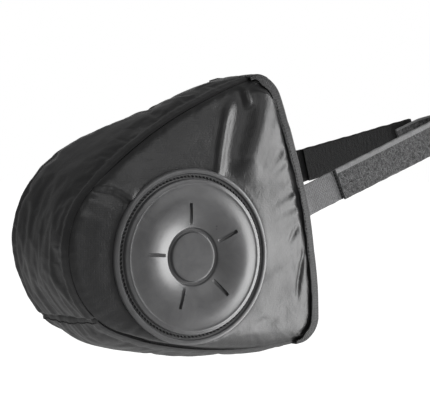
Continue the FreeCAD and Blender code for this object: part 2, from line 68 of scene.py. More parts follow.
CAD_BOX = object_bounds()
BODY = "root"
MM = 0.001

# The photograph's frame, in pixels, and the sensor that the lens is given for
PHOTO_WIDTH = 430
SENSOR = 36.0

# Driving places of the pouch, in millimetres, seen from the outer side: x ahead, z up
DISC_CENTRE = (-113.0, -50.0, -30.0)
DISC_YAW = 3.0
MOUTH_HALF_WIDTH = 20.5
WALL = 4.0
TOP_EDGE_X = -38.0
BOTTOM_EDGE_X = 3.2
CORNER_HEIGHT = 60.0
CROSS_SEAM = (-190.0, -75.0)
CROSS_LAP = 0.6
BELLY_AHEAD = 17
STRAP_WIDTH = 25.0
DISC_RADIUS = 65.0
FORM_MIDDLE = (-110.0, 0.0)

# How many points the outline and the seam are read at
OUTLINE_POINTS = 900
SEAM_POINTS = 1200
# How far the panels' cloth stops short of the bare mouth edge, under the binding
MOUTH_INSET = 0.6
# Brings Blender's smooth noise to between about -1 and 1
NOISE_GAIN = 1.6

# How far the worn pouch stands out from its plain outline, seen from the side: degrees from straight
# ahead, and millimetres. The first is for the whole width, and the second for the wheel side.
WORN_OUTLINE = ((0, -1.4), (12, -2.6), (28, -3.2), (38, -2.8), (48, 0.4), (57, 2.2), (66, 1.4), (78, 0),
                (225, 0), (250, 2.4), (285, 2.8), (313, 3.4), (324, 2.6), (334, 1.4), (346, -0.8),
                (360, -1.4))
WHEEL_SIDE_SWELL = ((38, 0), (50, -1.6), (58, -3.2), (68, -3.6), (88, -2.4), (108, 0.4), (129, 5.0),
                    (145, 8.6), (157, 8.4), (167, 5.4), (178, 1.2), (198, -2.8), (209, -3.2), (218, -1.0),
                    (226, 1.5), (236, 1.5), (256, 0))

Points = np.ndarray


class Slot(Enum):
    """Material slots of the record."""

    CLOTH = "shell_cloth"
    BINDING = "binding_tape"
    RUBBER = "bumper_rubber"
    ELASTIC = "elastic_webbing"
    LOOP = "loop_pile"
    PLAIN = "plain_webbing"
    HOOK = "hook_pile"


def linear(colour: str) -> tuple[float, float, float, float]:
    """Turn an sRGB hex colour to linear values.

    Args:
        colour: The colour as "#rrggbb".

    Returns:
        Linear red, green, blue and an alpha of one.
    """
    parts = [int(colour[i:i + 2], 16) / 255 for i in (1, 3, 5)]
    values = [c / 12.92 if c <= 0.04045 else ((c + 0.055) / 1.055) ** 2.4 for c in parts]
    return (*values, 1.0)


def set_inputs(tree: bpy.types.NodeTree, node: bpy.types.Node, inputs: dict) -> None:
    """Give a node's inputs their values or links.

    Args:
        tree: The node tree.
        node: The node.
        inputs: Values or output sockets, by the input's name or index.
    """
    for name, value in inputs.items():
        if isinstance(value, bpy.types.NodeSocket):
            tree.links.new(value, node.inputs[name])
        else:
            node.inputs[name].default_value = value


def add_node(tree: bpy.types.NodeTree, kind: str, settings: dict | None = None,
             inputs: dict | None = None) -> bpy.types.Node:
    """Add a node with its settings, its values and its links.

    Args:
        tree: The node tree that takes the node.
        kind: Blender's name of the node type.
        settings: Properties of the node.
        inputs: Values or output sockets for the node's inputs, by name or index.

    Returns:
        The new node.
    """
    node = tree.nodes.new(kind)
    for name, value in (settings or {}).items():
        setattr(node, name, value)
    set_inputs(tree, node, inputs or {})
    return node


def new_material(name: str) -> tuple[bpy.types.Material, bpy.types.NodeTree, bpy.types.Node]:
    """Start a material.

    Args:
        name: The material's name.

    Returns:
        The material, its nodes and its texture coordinates.
    """
    material = bpy.data.materials.new(name)
    material.use_nodes = True
    tree = material.node_tree
    return material, tree, add_node(tree, "ShaderNodeTexCoord")


def bands(tree: bpy.types.NodeTree, place: bpy.types.Node, direction: str, spacing: float,
          inputs: dict) -> bpy.types.NodeSocket:
    """Add threads as bands on the UV map.

    Args:
        tree: The node tree.
        place: Its texture coordinates.
        direction: The axis that the bands follow each other along.
        spacing: Their spacing in millimetres.
        inputs: More inputs of the wave texture.

    Returns:
        The height of the bands.
    """
    scale = 2 * math.pi / (20 * spacing * MM)
    return add_node(tree, "ShaderNodeTexWave", {"bands_direction": direction},
                    {"Vector": place.outputs["UV"], "Scale": scale, **inputs}).outputs["Fac"]


def grains(tree: bpy.types.NodeTree, place: bpy.types.Node, size: float,
           inputs: dict) -> bpy.types.NodeSocket:
    """Add noise on Object coordinates, with grains of a size in millimetres."""
    return add_node(tree, "ShaderNodeTexNoise", None,
                    {"Vector": place.outputs["Object"], "Scale": 1 / (size * MM), **inputs}).outputs["Fac"]


def worked_out(tree: bpy.types.NodeTree, operation: str, *values: object) -> bpy.types.NodeSocket:
    """Work out a value from values or sockets with a math node."""
    return add_node(tree, "ShaderNodeMath", {"operation": operation}, dict(enumerate(values))).outputs[0]


def ranged(tree: bpy.types.NodeTree, value: bpy.types.NodeSocket, start: float, end: float,
           low: float = 0.0, high: float = 1.0) -> bpy.types.NodeSocket:
    """Bring a socket's values from one range, from start to end, to another, from low to high."""
    inputs = {"Value": value, "From Min": start, "From Max": end, "To Min": low, "To Max": high}
    return add_node(tree, "ShaderNodeMapRange", None, inputs).outputs[0]


def blend(tree: bpy.types.NodeTree, share: bpy.types.NodeSocket, first: object,
          second: object) -> bpy.types.NodeSocket:
    """Mix two colours by a share of the second."""
    return add_node(tree, "ShaderNodeMix", {"data_type": "RGBA"}, {0: share, 6: first, 7: second}).outputs[2]


def bump(tree: bpy.types.NodeTree, height: bpy.types.NodeSocket, strength: float, depth: float,
         below: bpy.types.NodeSocket | None = None) -> bpy.types.NodeSocket:
    """Add a bump.

    Args:
        tree: The node tree.
        height: The height that is read.
        strength: The bump's strength.
        depth: Its depth in millimetres.
        below: The normal of another bump that it lies on.

    Returns:
        The normal.
    """
    inputs = {"Height": height, "Strength": strength, "Distance": depth * MM}
    if below is not None:
        inputs["Normal"] = below
    return add_node(tree, "ShaderNodeBump", None, inputs).outputs["Normal"]


def finish_surface(tree: bpy.types.NodeTree, inputs: dict) -> None:
    """Give the material's surface its inputs."""
    set_inputs(tree, tree.nodes["Principled BSDF"], inputs)


def select_only(obj: bpy.types.Object) -> None:
    """Make one object the only selected one, and the active one.

    Args:
        obj: The object.
    """
    bpy.ops.object.select_all(action="DESELECT")
    obj.select_set(True)
    bpy.context.view_layer.objects.active = obj


def apply_modifiers(obj: bpy.types.Object) -> None:
    """Apply all of an object's modifiers in order.

    Args:
        obj: The object.
    """
    select_only(obj)
    for name in [modifier.name for modifier in obj.modifiers]:
        bpy.ops.object.modifier_apply(modifier=name)


def add_modifier(obj: bpy.types.Object, kind: str, **settings: object) -> None:
    """Add a modifier.

    Args:
        obj: The object that takes it.
        kind: Blender's name of the modifier type.
        settings: Properties of the modifier.
    """
    modifier = obj.modifiers.new(kind.lower(), kind)
    for name, value in settings.items():
        setattr(modifier, name, value)


def subdivide(obj: bpy.types.Object) -> None:
    """Subdivide an object's surface once, and round it."""
    add_modifier(obj, "SUBSURF", levels=1, render_levels=1)
    apply_modifiers(obj)


def shade(obj: bpy.types.Object, degrees: float) -> None:
    """Shade an object smooth, apart from edges sharper than an angle."""
    select_only(obj)
    bpy.ops.object.shade_smooth_by_angle(angle=math.radians(degrees))


def add_object(name: str, data: bpy.types.ID) -> bpy.types.Object:
    """Put an object with its data into the scene.

    Args:
        name: The object's name.
        data: Its mesh, lamp or camera.

    Returns:
        The new object.
    """
    obj = bpy.data.objects.new(name, data)
    bpy.context.collection.objects.link(obj)
    return obj


def mesh_piece(name: str, points: Points, faces: list, uv: Points | None = None) -> bpy.types.Object:
    """Make an object from points, faces and a UV pair per point.

    Args:
        name: The piece's name.
        points: Points in millimetres, one row each.
        faces: Lists of point numbers.
        uv: Places on the cloth in millimetres, one row per point.

    Returns:
        The new object, at the origin.
    """
    mesh = bpy.data.meshes.new(name)
    mesh.from_pydata((np.asarray(points) * MM).tolist(), [], faces)
    if uv is not None:
        layer = mesh.uv_layers.new(name="cloth")
        corners = np.empty(len(mesh.loops), dtype=np.int32)
        mesh.loops.foreach_get("vertex_index", corners)
        layer.data.foreach_set("uv", (np.asarray(uv)[corners] * MM).ravel())
    mesh.validate()
    return add_object(name, mesh)


def remould(obj: bpy.types.Object, move: Callable[[Points], Points]) -> None:
    """Move all points of an object.

    Args:
        obj: The object.
        move: Gives the new points for the old ones, in millimetres.
    """
    points = np.empty(len(obj.data.vertices) * 3)
    obj.data.vertices.foreach_get("co", points)
    obj.data.vertices.foreach_set("co", (move(points.reshape(-1, 3) / MM) * MM).ravel())
    obj.data.update()


def grid_faces(rows: int, columns: int, closed: bool) -> list:
    """Give the four-sided faces of a grid of points.

    Args:
        rows: Number of rows.
        columns: Number of points in a row.
        closed: Whether each row's last point joins its first.

    Returns:
        The faces as lists of point numbers.
    """
    last = columns if closed else columns - 1
    faces = []
    for row in range(rows - 1):
        for column in range(last):
            after = (column + 1) % columns
            faces.append([row * columns + column, row * columns + after,
                          (row + 1) * columns + after, (row + 1) * columns + column])
    return faces


@contextmanager
def editing() -> Iterator[None]:
    """Edit the active object's mesh for the length of a with block.

    Yields:
        Nothing. Edit mode ends after the block.
    """
    bpy.ops.object.mode_set(mode="EDIT")
    yield
    bpy.ops.object.mode_set(mode="OBJECT")


def face_outwards(obj: bpy.types.Object) -> None:
    """Turn all faces of a closed shape outwards.

    Args:
        obj: The shape.
    """
    select_only(obj)
    with editing():
        bpy.ops.mesh.select_all(action="SELECT")
        bpy.ops.mesh.normals_make_consistent(inside=False)


def face_towards(obj: bpy.types.Object, outside: Vector) -> None:
    """Turn a sheet over if most of its faces look away from a direction.

    Args:
        obj: The sheet.
        outside: The direction.
    """
    total = sum((face.normal * face.area for face in obj.data.polygons), Vector())
    if total.dot(outside) < 0:
        obj.data.flip_normals()


def dress(obj: bpy.types.Object, material: bpy.types.Material, slot: Slot, *nodes: str) -> None:
    """Give a piece its material and its body, and hide the CAD nodes that it stands for.

    Args:
        obj: The piece.
        material: Its finish.
        slot: The record's slot. It is not used.
        nodes: Names of the CAD nodes that the piece replaces.
    """
    obj.data.materials.clear()
    obj.data.materials.append(material)
    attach(obj, BODY)
    if nodes:
        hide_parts(*nodes)
    LOG.info("%s: %d faces", obj.name, len(obj.data.polygons))


def wander(values: Points, seed: float, size: float) -> Points:
    """Give smooth noise between about -1 and 1 along a line.

    Args:
        values: Places along the line, in millimetres.
        seed: Which noise is read.
        size: The length of a swing, in millimetres.

    Returns:
        One value per place.
    """
    flat = np.ravel(values)
    found = [smooth_noise(Vector((v / size, seed * 7.31, seed * 3.17))) for v in flat]
    return np.reshape(found, np.shape(values)) * NOISE_GAIN


def crinkle(points: Points, seed: float, size: float) -> Points:
    """Give smooth noise between about -1 and 1 in space.

    Args:
        points: Points in millimetres.
        seed: Which noise is read.
        size: The length of a swing, in millimetres.

    Returns:
        One value per point.
    """
    flat = np.reshape(points, (-1, 3)) / size
    found = [smooth_noise(Vector((p[0] + seed * 9.7, p[1] - seed * 4.1, p[2] + seed))) for p in flat]
    return np.reshape(found, np.shape(points)[:-1]) * NOISE_GAIN


def unit(vectors: Points) -> Points:
    """Give vectors the length one."""
    return vectors / np.maximum(np.linalg.norm(vectors, axis=-1, keepdims=True), 1e-12)


def resampled(line: Points, count: int) -> Points:
    """Divide a line of points evenly.

    Args:
        line: Points of the line.
        count: How many points to give.

    Returns:
        Points at equal distances along the line, with both ends.
    """
    along = lengths(line)
    wanted = np.linspace(0, along[-1], count)
    return np.stack([np.interp(wanted, along, line[:, i]) for i in range(line.shape[1])], axis=1)


def lengths(line: Points) -> Points:
    """Give the distance along a line at each of its points."""
    return np.concatenate([[0], np.cumsum(np.linalg.norm(np.diff(line, axis=0), axis=1))])


def in_space(places: Points, depth: Points) -> Points:
    """Give the points in space of places in the side view, at their depths."""
    return np.stack([places[..., 0], depth, places[..., 1]], axis=-1)


def rising(value: Points, start: float, end: float) -> Points:
    """Give a smooth step from 0 at the start to 1 at the end."""
    part = np.clip((value - start) / (end - start), 0, 1)
    return part * part * (3 - 2 * part)


def ring_normals(points: Points) -> Points:
    """Give the unit normals of a grid of points whose rows are closed rings."""
    along = np.roll(points, -1, axis=1) - np.roll(points, 1, axis=1)
    return unit(np.cross(along, np.gradient(points, axis=0)))


@dataclass(frozen=True)
class Fold:
    """A ridge or a crease in the cloth, seen from the side, in millimetres.

    The line is followed from its first point to its last. A ridge has a height above zero. Widths are
    those of the flanks to the left and to the right of the line, and the fades are the shares of its
    length over which it comes up from the cloth and goes down into it.
    """

    line: tuple
    height: float
    widths: tuple[float, float]
    fades: tuple[float, float] = (0.35, 0.35)
    points: int = 24

    def offset(self, places: Points) -> Points:
        """Give the fold's height at places in the side view.

        Args:
            places: Pairs of x and z in millimetres.

        Returns:
            The height at each place.
        """
        line = resampled(np.array(self.line, dtype=float), self.points)
        starts, ends = line[:-1], line[1:]
        flat = places.reshape(-1, 2)
        run = ends - starts
        size = np.sum(run * run, axis=1)
        rel = flat[:, None, :] - starts[None]
        part = np.clip(np.sum(rel * run[None], axis=2) / size, 0, 1)
        gap = rel - part[..., None] * run[None]
        distance = np.linalg.norm(gap, axis=2)
        nearest = np.argmin(distance, axis=1)
        pick = np.arange(len(flat))
        side = run[nearest, 0] * gap[pick, nearest, 1] - run[nearest, 1] * gap[pick, nearest, 0]
        width = np.where(side > 0, self.widths[0], self.widths[1])
        share = (nearest + part[pick, nearest]) / len(run)
        reach = distance[pick, nearest] / width
        height = self.height * np.exp(-reach * reach)
        for way, span in zip((share, 1 - share), self.fades):
            if span:
                height = height * rising(way, 0, span)
        return height.reshape(places.shape[:-1])


class PouchForm:
    """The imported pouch's outline from the side, its seam planes and its outer skin."""

    def __init__(self) -> None:
        """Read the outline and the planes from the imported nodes."""
        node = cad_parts["outer_side_panel"]
        points = np.array([vertex.co for vertex in node.data.vertices]) / MM
        side = points[:, [0, 2]]
        hull = side[convex_hull_2d([Vector(p) for p in side])]
        self.plain = resampled(np.concatenate([hull, hull[:1]]), OUTLINE_POINTS)[:-1]
        away, angle = self.bearing(self.plain)
        self.outline = self.plain + away * np.interp(angle, *np.transpose(WORN_OUTLINE))[:, None]
        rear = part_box("rear_gusset")[0]
        self.slope = (-rear[1] / MM - MOUTH_HALF_WIDTH) / (-rear[0] / MM)
        self.skin = BVHTree.FromObject(node, bpy.context.evaluated_depsgraph_get())
        self.centre = np.array([DISC_CENTRE[0], DISC_CENTRE[2]])
        self.top = self.corner(TOP_EDGE_X, True)
        self.bottom = self.corner(BOTTOM_EDGE_X, False)

    @staticmethod
    def bearing(places: Points) -> tuple[Points, Points]:
        """Give the directions from the pouch's middle to places in the side view, and their angles."""
        away = unit(places - np.array(FORM_MIDDLE))
        return away, np.degrees(np.arctan2(away[..., 1], away[..., 0])) % 360

    def swell(self, points: Points) -> Points:
        """Move points of the cloth to where the wheel side has slumped.

        Args:
            points: Points in millimetres.

        Returns:
            The points, moved away from the pouch's middle or towards it.
        """
        side = points[..., [0, 2]]
        away, angle = self.bearing(side)
        near_edge = rising(np.linalg.norm(side - np.array(FORM_MIDDLE), axis=-1), 20, 75)
        share = rising(points[..., 1] / self.half_width(points[..., 0]), -0.7, 0.9)
        move = away * (near_edge * share * np.interp(angle, *np.transpose(WHEEL_SIDE_SWELL)))[..., None]
        return points + in_space(move, np.zeros(move.shape[:-1]))

    def half_width(self, x: Points) -> Points:
        """Give the distance of the seams from the middle plane at a place along the pouch."""
        return MOUTH_HALF_WIDTH - self.slope * x

    def corner(self, x: float, top: bool) -> int:
        """Find a corner of the mouth, or another place on the outline.

        Args:
            x: The place along the pouch.
            top: Whether it lies on the top, or else on the bottom.

        Returns:
            The number of the outline's nearest point.
        """
        wanted = self.plain[:, 1] * (1 if top else -1) > CORNER_HEIGHT
        miss = np.where(wanted, np.abs(self.plain[:, 0] - x), np.inf)
        return int(np.argmin(miss))

    def stretch(self, first: int, last: int, worn: bool = True) -> Points:
        """Give a stretch of the outline, against the clock.

        Args:
            first: The number of its first point.
            last: The number of its last point.
            worn: Whether the worn outline is read, or else the plain one.

        Returns:
            The stretch's points.
        """
        count = len(self.outline)
        steps = (last - first) % count
        line = self.outline if worn else self.plain
        return line[[(first + i) % count for i in range(steps + 1)]]

    def seam(self, count: int) -> Points:
        """Give the sewn edge, from the top of the mouth round the rear to its bottom."""
        return resampled(self.stretch(self.top, self.bottom), count)

    def mouth(self, count: int) -> Points:
        """Give the mouth's edge, from its bottom to its top."""
        return resampled(self.stretch(self.bottom, self.top), count)

    def edge(self, seam_columns: int, mouth_columns: int) -> Points:
        """Give a panel's whole edge: the sewn part first, and then the mouth's."""
        return np.concatenate([self.seam(seam_columns + 1)[:-1], self.mouth(mouth_columns + 1)[:-1]])

    def from_disc(self, places: Points) -> Points:
        """Give the distances of places in the side view from the disc's rim."""
        return np.linalg.norm(places - self.centre, axis=-1) - DISC_RADIUS

    def cross_share(self) -> float:
        """Find the place where the two gussets meet.

        Returns:
            Its share of the seam's length.
        """
        line = self.seam(SEAM_POINTS)
        nearest = int(np.argmin(np.linalg.norm(line - np.array(CROSS_SEAM), axis=1)))
        return nearest / (len(line) - 1)

    def outward(self, line: Points) -> Points:
        """Give the directions away from the pouch at points of its edge."""
        along = unit(np.gradient(line, axis=0))
        return np.stack([along[:, 1], -along[:, 0]], axis=1)

    def outer_y(self, places: Points) -> Points:
        """Give the outer skin's depth at places in the side view.

        Args:
            places: Pairs of x and z in millimetres.

        Returns:
            The y of the skin at each place, or at its edge for a place just outside it.
        """
        depths = []
        for x, z in places.reshape(-1, 2):
            hit = self.skin.ray_cast(Vector((x * MM, -1, z * MM)), Vector((0, 1, 0)))[0]
            if hit is None:
                start = Vector((x, -float(self.half_width(x)), z)) * MM
                hit = self.skin.find_nearest(start)[0]
            depths.append(hit.y / MM)
        return np.reshape(depths, places.shape[:-1])


def roll(distance: Points, depth: float, reach: float) -> Points:
    """Give how far a padded edge turns in towards its seam.

    Args:
        distance: Distances from the seam, in millimetres.
        depth: How deep the seam lies.
        reach: How far from the seam the cloth is flat again.

    Returns:
        Offsets from zero to minus the depth.
    """
    part = np.clip(1 - distance / reach, 0, 1)
    return -depth * (1 - np.sqrt(np.clip(1 - part * part, 0, 1)))


def eased(values: Points, times: int) -> Points:
    """Smooth a grid of values whose rows are closed rings, with its first and last rows kept.

    Args:
        values: The grid.
        times: How many times each value is drawn to the mean of its neighbours.

    Returns:
        The smoothed grid.
    """
    result = values.copy()
    for _ in range(times):
        sides = np.roll(result, 1, axis=1) + np.roll(result, -1, axis=1)
        rows = result.copy()
        rows[1:-1] = (result[2:] + result[:-2] + sides[1:-1]) / 4
        result = (result + rows) / 2
    return result


@dataclass(frozen=True)
class Filling:
    """The swelling of a padded sheet between its seams, by a short cloth simulation."""

    pressure: float = 4.0
    frames: int = 20
    cap: float = 4.0
    spare_cloth: float = 0.03
    thread_stiffness: float = 25.0
    bending: float = 1.5
    quality: int = 6

    def swollen(self, points: Points, closed: bool, outside: Points, held: Points) -> Points:
        """Let the filling swell a sheet.

        Args:
            points: The sheet's grid of points in millimetres.
            closed: Whether its rows are closed.
            outside: The direction that most of its faces look in.
            held: How fast each point is sewn down, from 0 to 1.
        """
        obj = mesh_piece("swelling_sheet", points.reshape(-1, 3), grid_faces(*points.shape[:2], closed))
        face_towards(obj, Vector(outside))
        group = obj.vertex_groups.new(name="sewn")
        for index, weight in enumerate(held.ravel()):
            if weight > 0:
                group.add([index], float(weight), "REPLACE")
        self.add_cloth(obj, group.name)
        scene = bpy.context.scene
        for number in range(1, self.frames + 1):
            scene.frame_set(number)
        shape = obj.evaluated_get(bpy.context.evaluated_depsgraph_get()).data
        found = np.empty(points.size)
        shape.vertices.foreach_get("co", found)
        move = found.reshape(points.shape) / MM - points
        far = np.linalg.norm(move, axis=-1, keepdims=True)
        LOG.info("cloth moved %.2f mm at most, %.2f on average", far.max(), far.mean())
        bpy.data.objects.remove(obj, do_unlink=True)
        scene.frame_set(1)
        return points + move * (np.minimum(far, self.cap) / np.maximum(far, 1e-9))

    def add_cloth(self, obj: bpy.types.Object, sewn: str) -> None:
        """Add the cloth modifier, with a pressure inside and no gravity.

        Args:
            obj: The sheet.
            sewn: The vertex group that is held in place.
        """
        modifier = obj.modifiers.new("filling", "CLOTH")
        settings = modifier.settings
        settings.quality = self.quality
        settings.vertex_group_mass = sewn
        settings.tension_stiffness = self.thread_stiffness
        settings.compression_stiffness = self.thread_stiffness
        settings.shear_stiffness = self.thread_stiffness / 3
        settings.bending_stiffness = self.bending
        settings.shrink_min = -self.spare_cloth
        settings.use_pressure = True
        settings.uniform_pressure_force = self.pressure
        settings.effector_weights.gravity = 0.0
        modifier.collision_settings.use_collision = False
        modifier.point_cache.frame_end = self.frames


@dataclass(frozen=True)
class CoatedNylon:
    """Black nylon with a polyurethane coat: a broad soft sheen that a crinkled weave breaks up."""

    colour: str = "#161617"
    dusty: str = "#1f1f20"
    roughness: tuple[float, float] = (0.30, 0.44)
    thread_spacing: float = 1.3
    crinkle_size: float = 3.8
    stain_size: float = 28.0

    def build(self) -> bpy.types.Material:
        """Make the material.

        Returns:
            Cloth whose threads run along its UV map. They are drawn about three times too coarse, so
            that they show.
        """
        material, tree, place = new_material("coated_nylon")
        threads = {"Distortion": 1.2, "Detail": 1.0, "Detail Scale": 2.0}
        warp, weft = [bands(tree, place, way, self.thread_spacing, threads) for way in ("X", "Y")]
        crinkles = grains(tree, place, self.crinkle_size,
                          {"Detail": 4.0, "Roughness": 0.6, "Distortion": 0.6})
        stains = grains(tree, place, self.stain_size, {"Detail": 5.0, "Roughness": 0.65})
        fine = bump(tree, worked_out(tree, "MULTIPLY", warp, weft), 0.16, 0.25)
        finish_surface(tree, {"Base Color": blend(tree, stains, linear(self.colour), linear(self.dusty)),
                              "Roughness": ranged(tree, stains, 0.3, 0.7, *self.roughness),
                              "Normal": bump(tree, crinkles, 0.6, 0.4, fine),
                              "IOR": 1.5, "Specular IOR Level": 0.65, "Sheen Weight": 0.05})
        return material


@dataclass(frozen=True)
class RibbedTape:
    """Woven narrow tape: threads across its length, with a rib where each weft turns."""

    name: str
    colour: str
    worn: str
    rib_spacing: float
    thread_spacing: float
    roughness: float = 0.75
    relief: float = 0.3
    sheen: float = 0.12
    lint_size: float = 1.6

    def build(self) -> bpy.types.Material:
        """Make the material.

        Returns:
            Tape whose ribs follow its UV map: along the tape first, and then round it.
        """
        material, tree, place = new_material(self.name)
        ribs = bands(tree, place, "Y", self.rib_spacing, {"Distortion": 0.5, "Detail": 1.0})
        threads = bands(tree, place, "X", self.thread_spacing, {"Distortion": 1.5, "Detail": 1.0})
        lint = grains(tree, place, self.lint_size, {"Detail": 3.0})
        mixed = worked_out(tree, "MULTIPLY_ADD", worked_out(tree, "MULTIPLY", ribs, threads), 0.6, lint)
        share = ranged(tree, mixed, 0.3, 1.1)
        finish_surface(tree, {"Base Color": blend(tree, share, linear(self.colour), linear(self.worn)),
                              "Normal": bump(tree, mixed, 0.6, self.relief),
                              "Roughness": self.roughness, "Sheen Weight": self.sheen})
        return material


@dataclass(frozen=True)
class Pile:
    """The pile of a fastening tape: tangled loops or stiff hooks, which the light catches in specks."""

    name: str
    colour: str
    tip: str
    grain: float
    relief: float
    roughness: float = 0.85
    sheen: float = 0.25
    edge: str = ""
    bare_edge: float = 1.0

    def selvedge(self, tree: bpy.types.NodeTree, place: bpy.types.Node) -> bpy.types.NodeSocket:
        """Find the bare woven edges of the tape on its UV map.

        Args:
            tree: The material's nodes.
            place: The texture coordinates.

        Returns:
            One on both edges and zero on the pile between them.
        """
        face = STRAP_WIDTH - 1
        side = 2.5
        spot = add_node(tree, "ShaderNodeSeparateXYZ", None, {0: place.outputs["UV"]})
        around = worked_out(tree, "PINGPONG", spot.outputs["Y"], (face + side) * MM)
        away = worked_out(tree, "ABSOLUTE", worked_out(tree, "SUBTRACT", around, face / 2 * MM))
        return worked_out(tree, "GREATER_THAN", away, (face / 2 - self.bare_edge) * MM)

    def build(self) -> bpy.types.Material:
        """Make the material.

        Returns:
            Pile whose specks lie on Object coordinates, with its bare edges if it has any.
        """
        material, tree, place = new_material(self.name)
        specks = grains(tree, place, self.grain, {"Detail": 4.0, "Roughness": 0.7, "Distortion": 1.0})
        share = ranged(tree, specks, 0.38, 0.66)
        tint = blend(tree, share, linear(self.colour), linear(self.tip))
        if self.edge:
            tint = blend(tree, self.selvedge(tree, place), tint, linear(self.edge))
        finish_surface(tree, {"Base Color": tint, "Normal": bump(tree, specks, 0.9, self.relief),
                              "Roughness": self.roughness, "Sheen Weight": self.sheen})
        return material


@dataclass(frozen=True)
class MouldedRubber:
    """Dark grey moulded rubber: a satin skin with a fine eroded grain and paler rubbed places."""

    colour: str = "#4e4e4f"
    rubbed: str = "#5e5e5f"
    roughness: tuple[float, float] = (0.27, 0.36)
    grain: float = 0.9
    smear: float = 16.0

    def build(self) -> bpy.types.Material:
        """Make the material.

        Returns:
            Rubber on Object coordinates. Its grain is drawn coarser than the mould's, so that it shows.
        """
        material, tree, place = new_material("moulded_rubber")
        grain = grains(tree, place, self.grain, {"Detail": 3.0})
        smears = grains(tree, place, self.smear, {"Detail": 6.0, "Roughness": 0.7, "Distortion": 0.8})
        share = ranged(tree, smears, 0.35, 0.75)
        finish_surface(tree, {"Base Color": blend(tree, share, linear(self.colour), linear(self.rubbed)),
                              "Roughness": ranged(tree, smears, 0.3, 0.7, *self.roughness),
                              "Normal": bump(tree, grain, 0.2, 0.12),
                              "IOR": 1.52, "Specular IOR Level": 0.9})
        return material


def sweep(name: str, path: Points, across: Points, normal: Points, profile: Points) -> bpy.types.Object:
    """Sweep a closed profile along a path, with both ends closed.

    Args:
        name: The piece's name.
        path: Points of the path in millimetres.
        across: The profile's first direction at each point.
        normal: The profile's second direction at each point.
        profile: The profile's points, or one profile for each point of the path.

    Returns:
        The new object. Its UV map runs along the path and round the profile.
    """
    count = len(path)
    shapes = np.broadcast_to(profile, (count, *np.shape(profile)[-2:]))
    sides = shapes.shape[1]
    points = path[:, None, :] + shapes[..., :1] * across[:, None, :] + shapes[..., 1:] * normal[:, None, :]
    faces = grid_faces(count, sides, True)
    faces.append(list(range(sides)))
    faces.append([(count - 1) * sides + i for i in range(sides)])
    around = lengths(shapes[0])
    along = lengths(path)
    uv = np.stack(np.meshgrid(along, around, indexing="ij"), axis=-1).reshape(-1, 2)
    obj = mesh_piece(name, points.reshape(-1, 3), faces, uv)
    face_outwards(obj)
    return obj


def stitches(name: str, places: Points, along: Points, up: Points, length: float,
             radius: float) -> bpy.types.Object:
    """Make a row of thread stitches, each a short bowed bead that dips at both ends.

    Args:
        name: The piece's name.
        places: The stitches' middles in millimetres.
        along: Their directions.
        up: The directions away from the cloth.
        length: A stitch's length.
        radius: The thread's radius.

    Returns:
        The new object.
    """
    stations = np.array([-0.5, -0.32, 0.0, 0.32, 0.5])
    girth = np.array([0.35, 0.95, 1.0, 0.95, 0.35]) * radius
    height = np.array([-0.9, 0.1, 0.45, 0.1, -0.9]) * radius
    sides = 6
    turns = np.arange(sides) / sides * 2 * math.pi
    last = (len(stations) - 1) * sides
    side = unit(np.cross(along, up))
    points = []
    faces = []
    for place, run, rise, flank in zip(places, along, up, side):
        base = len(points)
        for station, thick, lift in zip(stations, girth, height):
            middle = place + run * station * length + rise * lift
            points.extend(middle + thick * (math.cos(t) * rise + math.sin(t) * flank) for t in turns)
        faces.extend([[base + i for i in face] for face in grid_faces(len(stations), sides, True)])
        faces.extend([base + end + i for i in range(sides)] for end in (0, last))
    obj = mesh_piece(name, np.array(points), faces)
    face_outwards(obj)
    shade(obj, 80.0)
    return obj


# Folds of the outer panel, as pairs of x and z in millimetres
OUTER_FOLDS = (
    # A ridge that rises from the disc, and a short one behind the mouth's top corner
    Fold(((-92, 26), (-87, 46), (-79.5, 68), (-68, 92)), 3.0, (3.6, 5.0), (0.0, 0.4)),
    Fold(((-57.5, 77), (-60.5, 96)), 3.6, (2.2, 3.6), (0.3, 0.3)),
    # The front facet's edge, from the disc to the top corner
    Fold(((-72, 24), (-58.5, 47), (-50.5, 63), (-46, 78), (-42, 98)), 7.4, (10.5, 17.0), (0.25, 0.1)),
    # Creases and low ridges by the mouth
    Fold(((-10, -8), (-17, -16), (-25, -26)), -1.2, (1.1, 2.0), (0.2, 0.5)),
    Fold(((-4, -24), (-9, -44), (-14, -70)), -2.0, (1.2, 2.2), (0.15, 0.35)),
    Fold(((-50, -52), (-32, -44), (-12, -33)), 1.0, (5.0, 7.5), (0.3, 0.3)),
    Fold(((-6, -84), (-14, -79), (-26, -78)), 0.6, (5.0, 6.0)),
    # The dart between the rear seam and the disc
    Fold(((-187, 22), (-177, 20), (-168, 16), (-160, 9)), 2.8, (11.0, 0.9), (0.0, 0.0)),
    Fold(((-187, 20), (-177, 18), (-168, 14), (-160, 7)), -1.6, (1.2, 7.0), (0.0, 0.0)),
    # A soft draw below the disc
    Fold(((-60, -84), (-45, -80), (-28, -82)), -1.0, (4.0, 5.0)),
)

# Folds of the top band, as pairs of distance along its seam and percent across: a dent that shows in the
# outline, and the ridge of the lighter facet ahead of it
TOP_FOLDS = (
    Fold(((79, 100), (82, 62), (88, 40)), -2.3, (6.5, 4.0), (0.0, 0.6)),
    Fold(((72, 74), (66, 18)), 1.8, (9.0, 4.0)),
)


